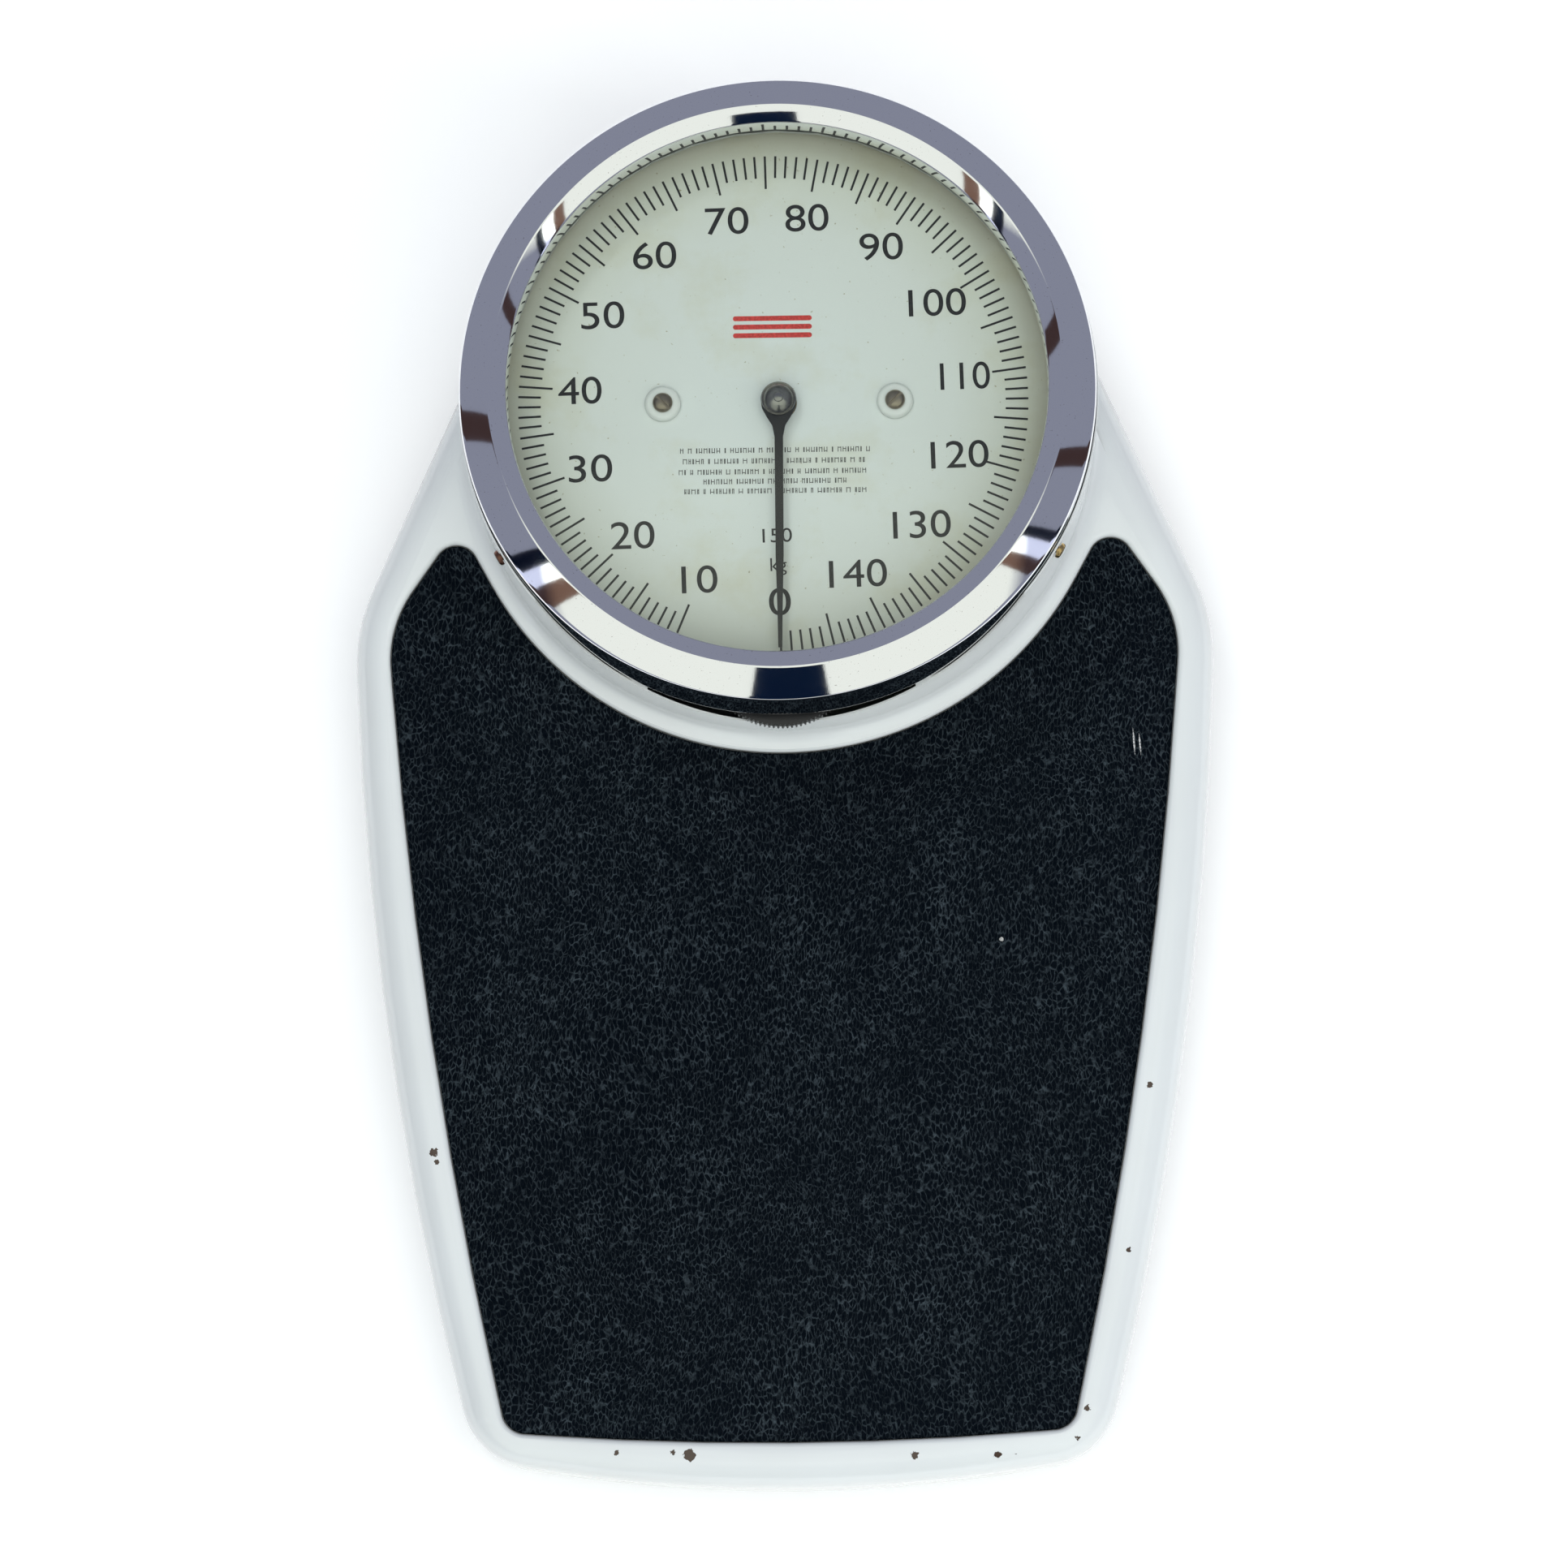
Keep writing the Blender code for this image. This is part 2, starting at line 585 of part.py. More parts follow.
def feet_and_brackets():
    for word, (x, y) in FOOT_PLACES.items():
        at = Vector((x, y, 0)) * MM
        top = FOOT_HEIGHT - GAP
        foot = turned([(2.4 * MM, top), (12 * MM, top), (12.5 * MM, 3 * MM), (11 * MM, 0),
                       (5.5 * MM, 0), (5.5 * MM, 3.5 * MM), (2.4 * MM, 3.5 * MM)],
                      "foot", at, 16, True)
        piece(foot, f"foot_{word}", RUBBER)
        pivot = HEEL_FULCRUM.z if word.startswith("heel") else DIAL_FULCRUM.z
        low = TRAY_FLOOR + GAP
        flange = box(at + Vector((-9 * MM, -9 * MM, low)), at + Vector((9 * MM, 9 * MM, low + 2 * MM)))
        outer = math.copysign(6.4 * MM, x)
        cheek = box(at + Vector((outer - 1.4 * MM, -7 * MM, low + 1 * MM)),
                    at + Vector((outer + 1.4 * MM, 7 * MM, pivot + 6 * MM)))
        join(flange, cheek)
        bore = at + Vector((outer, 0, pivot))
        cut(flange, rod(2.75 * MM, bore - Vector((4 * MM, 0, 0)), bore + Vector((4 * MM, 0, 0)),
                        sides=16))
        cut(flange, rod(2.3 * MM, at, at + Vector((0, 0, 20 * MM)), sides=16))
        piece(flange, f"fulcrum_bracket_{word}", ZINC)
        head = turned([(0, 14 * MM), (2 * MM, 14 * MM), (2 * MM, 3.2 * MM), (4.6 * MM, 3.2 * MM),
                       (4.2 * MM, 1.4 * MM), (0, 1.0 * MM)], "screw", at, 14)
        slot = box((-5 * MM, -0.5 * MM, 0), (5 * MM, 0.5 * MM, 2 * MM))
        slot.location = at
        piece(cut(head, slot), f"foot_screw_{word}", ZINC)


# ---- levers -------------------------------------------------------------------------
def across_pin(x_from, x_to, y, z, radius=2.5 * MM):
    return rod(radius, (x_from, y, z), (x_to, y, z), "pin", 16)


def long_lever():
    """V of two flat arms from the heel fulcrums to the nose over the spring stirrup."""
    low, high = 22 * MM, 31 * MM
    y, z = HEEL_FULCRUM.y, HEEL_FULCRUM.z
    lever = box((-7 * MM, 36 * MM, 25 * MM), (7 * MM, 56 * MM, high))
    join(lever, box((-75.5 * MM, -166 * MM, low), (75.5 * MM, -160 * MM, high)))
    for side in (-1, 1):
        heel = (side * 79 * MM, y - 5 * MM)
        elbow = (side * 79 * MM, HEEL_LOAD_Y + 4 * MM)
        join(lever, prism(bar_outline(heel, elbow, 4 * MM), low, high))
        join(lever, prism(bar_outline((side * 79 * MM, HEEL_LOAD_Y), (side * 5 * MM, 41 * MM), 4 * MM),
                          low, high))
        join(lever, across_pin(side * 78 * MM, side * 96 * MM, y, z))
        join(lever, across_pin(side * 78 * MM, side * 92 * MM, HEEL_LOAD_Y, z, 3 * MM))
    return piece(lever, "long_lever", GREY_PAINT)


def short_lever():
    """Two arms from the dial-end fulcrums to a bar that rests on the long lever."""
    low, high = 32 * MM, 40 * MM
    y, z = DIAL_FULCRUM.y, DIAL_FULCRUM.z
    lever = box((-46 * MM, SHORT_NOSE_Y - 3 * MM, low), (46 * MM, SHORT_NOSE_Y + 3 * MM, high - 2 * MM))
    for side in (-1, 1):
        join(lever, prism(bar_outline((side * 111 * MM, y + 5 * MM), (side * 111 * MM, DIAL_LOAD_Y - 4 * MM),
                                      4 * MM), low, high))
        join(lever, prism(bar_outline((side * 111 * MM, DIAL_LOAD_Y), (side * 43 * MM, SHORT_NOSE_Y),
                                      4 * MM), low, high))
        join(lever, across_pin(side * 110 * MM, side * 128 * MM, y, z))
        join(lever, across_pin(side * 110 * MM, side * 125 * MM, DIAL_LOAD_Y, z, 3 * MM))
    return piece(lever, "short_lever", GREY_PAINT)


# ---- measuring spring and zero adjustment -------------------------------------------
BRIDGE_LOW, BRIDGE_HIGH = 70.5 * MM, 73 * MM
SPRING_LOW, SPRING_HIGH = 40.6 * MM, 62.3 * MM
HANGER_LOW = 64.4 * MM                # stays clear of the coil when the screw is fully down


def spring_yoke():
    """Stirrup under the lever nose; the main spring pulls it up."""
    y = NOSE_Y
    top = box((-13 * MM, y - 5 * MM, 37 * MM), (13 * MM, y + 5 * MM, 40 * MM))
    foot = box((-12.5 * MM, y - 4 * MM, 21.5 * MM), (12.5 * MM, y + 4 * MM, 24.5 * MM))
    join(top, foot)
    for side in (-1, 1):
        strap = box((side * 11.5 * MM - 1 * MM, y - 4 * MM, 23 * MM),
                    (side * 11.5 * MM + 1 * MM, y + 4 * MM, 38 * MM))
        join(top, strap)
    return piece(top, "spring_yoke", ZINC)


def main_spring():
    """Tension coil between the yoke and the hanger on the zero screw."""
    turns, per_turn, wire = 5, 10, 1.0 * MM
    coil_r = 6.5 * MM
    low, high = SPRING_LOW + wire, SPRING_HIGH - wire
    curve = bpy.data.curves.new("coil", "CURVE")
    curve.dimensions = "3D"
    curve.bevel_depth = wire
    curve.bevel_resolution = 1
    curve.use_fill_caps = True
    spline = curve.splines.new("POLY")
    count = turns * per_turn
    spline.points.add(count)
    for k, point in enumerate(spline.points):
        angle = math.tau * k / per_turn
        point.co = (coil_r * math.cos(angle), NOSE_Y + coil_r * math.sin(angle),
                    low + (high - low) * k / count, 1)
    return piece(mesh_from_curve(raw("coil", curve), "coil"), "main_spring", SPRING_STEEL)


def spring_bridge():
    deck = box((-34 * MM, NOSE_Y - 5 * MM, BRIDGE_LOW), (34 * MM, NOSE_Y + 5 * MM, BRIDGE_HIGH))
    for side in (-1, 1):
        leg = box((side * 33 * MM - 1 * MM, NOSE_Y - 5 * MM, TRAY_FLOOR + GAP),
                  (side * 33 * MM + 1 * MM, NOSE_Y + 5 * MM, BRIDGE_HIGH - 1 * MM))
        foot = box((side * 38 * MM - 6 * MM, NOSE_Y - 5 * MM, TRAY_FLOOR + GAP),
                   (side * 38 * MM + 6 * MM, NOSE_Y + 5 * MM, TRAY_FLOOR + GAP + 2 * MM))
        join(deck, leg, foot)
    cut(deck, rod(3.3 * MM, (0, NOSE_Y, 60 * MM), (0, NOSE_Y, 80 * MM), sides=16))
    return piece(deck, "spring_bridge", ZINC)


def zero_screw():
    at = Vector((0, NOSE_Y, 0))
    body = turned([(0, 85 * MM), (2.2 * MM, 85 * MM), (3 * MM, 84 * MM), (3 * MM, 66.8 * MM),
                   (7 * MM, 66.5 * MM), (7 * MM, HANGER_LOW), (0, HANGER_LOW)],
                  "screw", at, 16)
    return piece(body, "zero_screw", STEEL)


def zero_wheel():
    """Thumb wheel with a finely toothed edge that shows under the front of the dial."""
    edge = []
    for k in range(WHEEL_TEETH):
        for offset, depth in ((0.0, 0.0), (0.3, 0.0), (0.5, 0.7), (0.8, 0.7)):
            angle = math.tau * (k + offset) / WHEEL_TEETH
            radius = WHEEL_R - depth * MM
            edge.append((radius * math.cos(angle), NOSE_Y + radius * math.sin(angle)))
    wheel = prism(edge, WHEEL_BOTTOM, WHEEL_BOTTOM + 4.5 * MM)
    hub = rod(6 * MM, (0, NOSE_Y, BRIDGE_HIGH + GAP), (0, NOSE_Y, WHEEL_BOTTOM + 1 * MM), sides=16)
    join(wheel, hub)
    cut(wheel, rod(3.3 * MM, (0, NOSE_Y, 70 * MM), (0, NOSE_Y, 90 * MM), sides=16))
    return piece(wheel, "zero_wheel", BLACK_PLASTIC)


# ---- crank, rack and mechanism frame ------------------------------------------------
BRACKET_LOW, BRACKET_TOP = 53 * MM, 55.5 * MM
STRAP_LOW, STRAP_TOP = 77 * MM, 79 * MM


def bell_crank():
    """Plate with a level arm over the yoke and an upright arm that pulls the rack."""
    pivot = CRANK_PIVOT
    x0, x1 = pivot.x - 1 * MM, pivot.x + 1 * MM

    def side_rod(radius, y, z, start=x0, end=x1, sides=20):
        return rod(radius, (start, y, z), (end, y, z), sides=sides)

    crank = side_rod(4.5 * MM, pivot.y, pivot.z)
    join(crank, box((x0, CRANK_INPUT_Y, pivot.z - 1.3 * MM), (x1, pivot.y, pivot.z + 1.9 * MM)))
    join(crank, side_rod(1.3 * MM, CRANK_INPUT_Y, pivot.z))
    join(crank, box((x0, pivot.y - 1.9 * MM, pivot.z), (x1, pivot.y + 1.9 * MM, RACK_PIN_Z)))
    join(crank, side_rod(2.2 * MM, pivot.y, RACK_PIN_Z))
    join(crank, side_rod(1.2 * MM, pivot.y, RACK_PIN_Z, 3.6 * MM, x1 - 0.2 * MM, 16))
    cut(crank, side_rod(1.55 * MM, pivot.y, pivot.z, x0 - 2 * MM, x1 + 2 * MM, 24))
    return piece(crank, "bell_crank", BRASS)


def crank_support():
    pivot = CRANK_PIVOT
    low = TRAY_FLOOR + GAP
    stand = box((12.6 * MM, pivot.y - 6 * MM, low), (15 * MM, pivot.y + 6 * MM, pivot.z + 5 * MM))
    join(stand, box((12.6 * MM, pivot.y - 6 * MM, low), (26 * MM, pivot.y + 6 * MM, low + 2 * MM)))
    cut(stand, rod(1.8 * MM, (10 * MM, pivot.y, pivot.z), (18 * MM, pivot.y, pivot.z), sides=16))
    piece(stand, "crank_bracket", ZINC)
    pin = rod(1.5 * MM, (6.5 * MM, pivot.y, pivot.z), (16 * MM, pivot.y, pivot.z), "pin", 20)
    piece(pin, "crank_pin", STEEL)


RACK_TOOTH_X = 2.8 * MM
RACK_LOW, RACK_HIGH = 64 * MM, 68 * MM


def rack():
    """Toothed bar beside the pinion, slotted at its front end for the crank's pin."""
    start, end = 76 * MM, 163 * MM
    pitch = 1.26 * MM
    teeth_from = DIAL_Y - 3 * MM
    outline = [(3.6 * MM, start), (7 * MM, start), (7 * MM, end), (3.6 * MM, end)]
    count = int((end - 2 * MM - teeth_from) / pitch)
    for k in range(count, -1, -1):
        y = teeth_from + k * pitch
        outline += [(3.6 * MM, y + 0.45 * pitch), (RACK_TOOTH_X, y + 0.15 * pitch),
                    (RACK_TOOTH_X, y - 0.15 * pitch), (3.6 * MM, y - 0.45 * pitch)]
    bar = prism(outline, RACK_LOW, RACK_HIGH)
    head = box((4 * MM, 68.8 * MM, 62.5 * MM), (7 * MM, 78 * MM, 73 * MM))
    slot = box((0, CRANK_PIVOT.y - 1.95 * MM, 55 * MM), (9 * MM, CRANK_PIVOT.y + 1.95 * MM, 71 * MM))
    return piece(cut(join(bar, head), slot), "rack", BRASS)


def rack_guide():
    """Block on the mechanism bracket that keeps the rack against the pinion."""
    guide = box((1 * MM, 146 * MM, BRACKET_TOP + GAP), (14 * MM, 156 * MM, 71 * MM))
    channel = box((2.5 * MM, 140 * MM, RACK_LOW - 0.35 * MM), (7.35 * MM, 160 * MM, RACK_HIGH + 0.35 * MM))
    return piece(cut(guide, channel), "rack_guide", WHITE_PLASTIC)


def mechanism_bracket():
    """Bent steel table that carries the pinion's bearings and the dial pillars."""
    half_x, half_y = 52 * MM, 24 * MM
    table = box((-half_x, DIAL_Y - half_y, BRACKET_LOW), (half_x, DIAL_Y + half_y, BRACKET_TOP))
    low = TRAY_FLOOR + GAP
    for side in (-1, 1):
        leg = box((side * 51 * MM - 1 * MM, DIAL_Y - half_y, low),
                  (side * 51 * MM + 1 * MM, DIAL_Y + half_y, BRACKET_TOP - 1 * MM))
        foot = box((side * 57 * MM - 7 * MM, DIAL_Y - half_y, low),
                   (side * 57 * MM + 7 * MM, DIAL_Y + half_y, low + 2 * MM))
        join(table, leg, foot)
    cut(table, rod(4.3 * MM, (0, DIAL_Y, 45 * MM), (0, DIAL_Y, 60 * MM), sides=16))
    return piece(table, "mechanism_bracket", ZINC)


def bearings():
    bush = turned([(SHAFT_R + 0.05 * MM, 60 * MM), (5.5 * MM, 60 * MM), (5.5 * MM, BRACKET_TOP + GAP),
                   (4.0 * MM, BRACKET_TOP + GAP), (4.0 * MM, BRACKET_LOW),
                   (SHAFT_R + 0.05 * MM, BRACKET_LOW)], "bush", (0, DIAL_Y, 0), 24, True)
    piece(bush, "lower_bearing", BRASS)
    strap = box((-24 * MM, DIAL_Y - 6 * MM, STRAP_LOW), (24 * MM, DIAL_Y + 6 * MM, STRAP_TOP))
    for side in (-1, 1):
        join(strap, box((side * 23 * MM - 1 * MM, DIAL_Y - 6 * MM, BRACKET_TOP + GAP),
                        (side * 23 * MM + 1 * MM, DIAL_Y + 6 * MM, STRAP_TOP - 1 * MM)))
    cut(strap, rod(SHAFT_R + 0.05 * MM, (0, DIAL_Y, 70 * MM), (0, DIAL_Y, 85 * MM), sides=16))
    piece(strap, "upper_bearing_strap", BRASS)


def dust_shroud():
    """Black tube under the dial plate, open in front for the lever and the wheel."""
    outer, wall = 105.5 * MM, 1.4 * MM
    low, top = TRAY_FLOOR + GAP, DIAL_PLATE_TOP - DIAL_PLATE_THICKNESS - GAP
    tube = turned([(outer, top), (outer, low), (outer - wall, low), (outer - wall, top)],
                  "tube", (0, DIAL_Y, 0), ROUND, True)
    front = box((-95 * MM, 20 * MM, 0), (95 * MM, 105 * MM, 58 * MM))
    wheel_slot = box((-28 * MM, 20 * MM, 72 * MM), (28 * MM, 60 * MM, 81.5 * MM))
    return piece(cut(tube, front, wheel_slot), "dust_shroud", BLACK_PAINT)


def build():
    platform_casing()
    tread_mat()
    load_posts()
    bezel()
    glass_ledge()
    bezel_screws()
    glass_and_gasket()
    dial_group()
    pointer_group()
    base_tray()
    feet_and_brackets()
    long_lever()
    short_lever()
    spring_yoke()
    main_spring()
    spring_bridge()
    zero_screw()
    zero_wheel()
    bell_crank()
    crank_support()
    rack()
    rack_guide()
    mechanism_bracket()
    bearings()
    dust_shroud()


clear_scene()
PARTS = new_collection("dial_floor_scale")
CUTTERS = new_collection("cutters")
build()
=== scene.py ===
"""Looks of the dial floor scale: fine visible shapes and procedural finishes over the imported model."""
import json
import math

import bmesh
import bpy
from mathutils import Matrix, Vector


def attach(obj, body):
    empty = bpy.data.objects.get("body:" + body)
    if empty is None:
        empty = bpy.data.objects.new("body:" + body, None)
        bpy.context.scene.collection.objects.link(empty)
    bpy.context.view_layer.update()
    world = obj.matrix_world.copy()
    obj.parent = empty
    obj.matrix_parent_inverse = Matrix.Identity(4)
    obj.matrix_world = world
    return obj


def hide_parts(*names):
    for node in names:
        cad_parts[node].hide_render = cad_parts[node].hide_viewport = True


MM = 0.001
DIAL_Y = 137 * MM
ARC_STEP = math.radians(2.0)
ROUND = 192

# ---- sizes, the same as the solids' --------------------------------------------------
CASING_CORNERS = [
    (0, DIAL_Y + 117 * MM / math.sin(math.radians(23.8)), 117 * MM),
    (160.2 * MM, 64 * MM, 70 * MM),
    (153.7 * MM, -92.4 * MM, 1275 * MM),
    (114.3 * MM, -243.7 * MM, 28 * MM),
    (0, -262 * MM, 560 * MM),
]
MAT_CORNERS = [
    (0, -119.9 * MM, 123 * MM),
    (120.5 * MM, 101 * MM, 8.3 * MM),
    (146.8 * MM, 63 * MM, 45 * MM),
    (134.3 * MM, -91.3 * MM, 1900 * MM),
    (102.4 * MM, -234.1 * MM, 9 * MM),
    (0, -241.8 * MM, 1200 * MM),
]
CASING_BOTTOM = 12 * MM
RIM_TOP = 53 * MM
RIM_ROUND, RIM_ROUND_HEIGHT = 11 * MM, 12 * MM
WALL, WALL_DRAFT = 4 * MM, 0.4 * MM
DECK_TOP, DECK_UNDER = 48.5 * MM, 46 * MM
MAT_TOP = DECK_TOP + 2.3 * MM
BOSS_BASE_R, BOSS_TOP_R, BOSS_BORE_R = 116.2 * MM, 116.0 * MM, 115.4 * MM
BOSS_FOOT, BOSS_TOP = 42.4 * MM, 103.3 * MM
BOSS_SEAT_R, BOSS_SEAT_LOW, BOSS_SEAT_HIGH = 108 * MM, 82.3 * MM, 84.3 * MM
WELL_R = 115.8 * MM                   # inside the boss's wall, so the cut leaves no step
FILLET = 6 * MM
SCOOP_R, SCOOP_BOTTOM = 147 * MM, 74 * MM
BEZEL_SCREW_Z = 98 * MM
GLASS_EDGE_Z = 105.2 * MM
DIAL_TOP = 88.5 * MM
FACE_SCREW_X = 42.4 * MM
WHEEL_Y = 48.5 * MM
WHEEL_R, WHEEL_BOTTOM, WHEEL_THICK = 30 * MM, 75.8 * MM, 4.5 * MM

# ---- camera --------------------------------------------------------------------------
CAMERA_DISTANCE = 1.83
CAMERA_AIM = Vector((0, 0.001, 0.058))
CAMERA_TILT = math.radians(9.4)      # off the vertical, towards the heel end
CAMERA_SIDE = math.radians(1.5)      # off the vertical, towards +X
CAMERA_ROLL = math.radians(-0.43)
CAMERA_FOV = math.radians(17.853)


# ---- shape helpers -------------------------------------------------------------------
def new_object(name, mesh):
    obj = bpy.data.objects.new(name, mesh)
    bpy.context.scene.collection.objects.link(obj)
    return obj


def mesh_object(name, bm, outwards=True):
    """Ends a bmesh as a new object, with its faces turned outwards if it is closed."""
    if outwards:
        bmesh.ops.recalc_face_normals(bm, faces=bm.faces)
    mesh = bpy.data.meshes.new(name)
    bm.to_mesh(mesh)
    bm.free()
    return new_object(name, mesh)


def smooth(obj, angle=40):
    obj.data.shade_smooth()
    obj.data.set_sharp_from_angle(angle=math.radians(angle))
    return obj


def baked(obj):
    """The object with its modifiers applied."""
    bpy.context.view_layer.update()
    evaluated = obj.evaluated_get(bpy.context.evaluated_depsgraph_get())
    mesh = bpy.data.meshes.new_from_object(evaluated)
    mesh.transform(obj.matrix_world)
    out = new_object(obj.name + ".baked", mesh)
    name = obj.name
    bpy.data.objects.remove(obj, do_unlink=True)
    out.name = name
    return out


def turned(name, profile, centre=(0, DIAL_Y), steps=ROUND, closed=True):
    """A closed (radius, height) profile swept round a vertical axis."""
    bm = bmesh.new()
    rings = []
    for r, z in profile:
        if r < 1e-7:
            rings.append([bm.verts.new((centre[0], centre[1], z))])
        else:
            rings.append([bm.verts.new((centre[0] + r * math.cos(math.tau * k / steps),
                                        centre[1] + r * math.sin(math.tau * k / steps), z))
                          for k in range(steps)])
    pairs = list(zip(rings, rings[1:]))
    if closed:
        pairs.append((rings[-1], rings[0]))
    for a, b in pairs:
        if len(a) == 1 and len(b) == 1:
            continue
        for k in range(steps):
            n = (k + 1) % steps
            corners = [a[k % len(a)], a[n % len(a)], b[n % len(b)], b[k % len(b)]]
            unique = list(dict.fromkeys(corners))
            bm.faces.new(unique)
    return mesh_object(name, bm)


def quarter(steps):
    """Angles that divide a quarter turn, without the first."""
    return [math.pi / 2 * k / steps for k in range(1, steps + 1)]


def arc(centre, radius, start, end, steps):
    """Points of an arc in (radius, height), angles in degrees."""
    return [(centre[0] + radius * math.cos(math.radians(start + (end - start) * k / steps)),
             centre[1] + radius * math.sin(math.radians(start + (end - start) * k / steps)))
            for k in range(steps + 1)]


def both_halves(corners):
    """The corners on +X and the centre line, and their mirror images."""
    return corners + [(-x, y, r) for x, y, r in reversed(corners) if x > 0]


def rounded(corners):
    """Points of a polygon whose corners are arcs of the given radii."""
    points = []
    count = len(corners)
    for i, (x, y, radius) in enumerate(corners):
        here = Vector((x, y))
        before = (Vector(corners[i - 1][:2]) - here).normalized()
        after = (Vector(corners[(i + 1) % count][:2]) - here).normalized()
        half = before.angle(after) / 2
        centre = here + (before + after).normalized() * radius / math.sin(half)
        start = here + before * radius / math.tan(half) - centre
        sweep = math.pi - 2 * half
        if start.y * before.x - start.x * before.y < 0:
            sweep = -sweep
        steps = max(6, math.ceil(abs(sweep) / ARC_STEP))
        for k in range(steps + 1):
            points.append(tuple(centre + Matrix.Rotation(sweep * k / steps, 2) @ start))
    return points


def inset(corners, distance):
    """The same rounded polygon moved inwards by a distance, point for point."""
    count = len(corners)
    flat = [Vector(c[:2]) for c in corners]
    area = sum(a.x * b.y - a.y * b.x for a, b in zip(flat, flat[1:] + flat[:1]))
    side = 1 if area > 0 else -1
    moved = []
    for i, here in enumerate(flat):
        before = (here - flat[i - 1]).normalized()
        after = (flat[(i + 1) % count] - here).normalized()
        normal_before = Vector((-before.y, before.x)) * side
        normal_after = Vector((-after.y, after.x)) * side
        mid = (normal_before + normal_after).normalized()
        corner = here + mid * distance / mid.dot(normal_before)
        convex = (before.x * after.y - before.y * after.x) * side > 0
        moved.append((corner.x, corner.y, corners[i][2] + (-distance if convex else distance)))
    return moved


CASING_LOOP = both_halves(CASING_CORNERS)
MAT_LOOP = both_halves(MAT_CORNERS)


def stacked(name, loop, levels):
    """Closed skin through insets of one outline; levels are (inset, height)."""
    bm = bmesh.new()
    rings = [[bm.verts.new((x, y, z)) for x, y in rounded(inset(loop, d))] for d, z in levels]
    for lower, upper in zip(rings, rings[1:]):
        for i, vertex in enumerate(lower):
            n = (i + 1) % len(lower)
            bm.faces.new((vertex, lower[n], upper[n], upper[i]))
    bm.faces.new(rings[0])
    bm.faces.new(rings[-1])
    return mesh_object(name, bm)


def add_block(bm, outline, bottom, top):
    """Adds a closed upright block with the given plan."""
    low = [bm.verts.new((x, y, bottom)) for x, y in outline]
    high = [bm.verts.new((x, y, top)) for x, y in outline]
    for i, corner in enumerate(low):
        n = (i + 1) % len(low)
        bm.faces.new((corner, low[n], high[n], high[i]))
    bm.faces.new(low)
    bm.faces.new(high)


def prism(name, outline, bottom, top):
    bm = bmesh.new()
    add_block(bm, outline, bottom, top)
    return mesh_object(name, bm)


def rectangle(half_x, half_y):
    return [(-half_x, -half_y), (half_x, -half_y), (half_x, half_y), (-half_x, half_y)]


def boolean(target, tools, operation):
    """The target cut by, joined to or met with the tools, which are used up."""
    for tool in tools:
        step = target.modifiers.new(operation, "BOOLEAN")
        step.operation, step.solver, step.object = operation, "EXACT", tool
    out = baked(target)
    for tool in tools:
        bpy.data.objects.remove(tool, do_unlink=True)
    return out


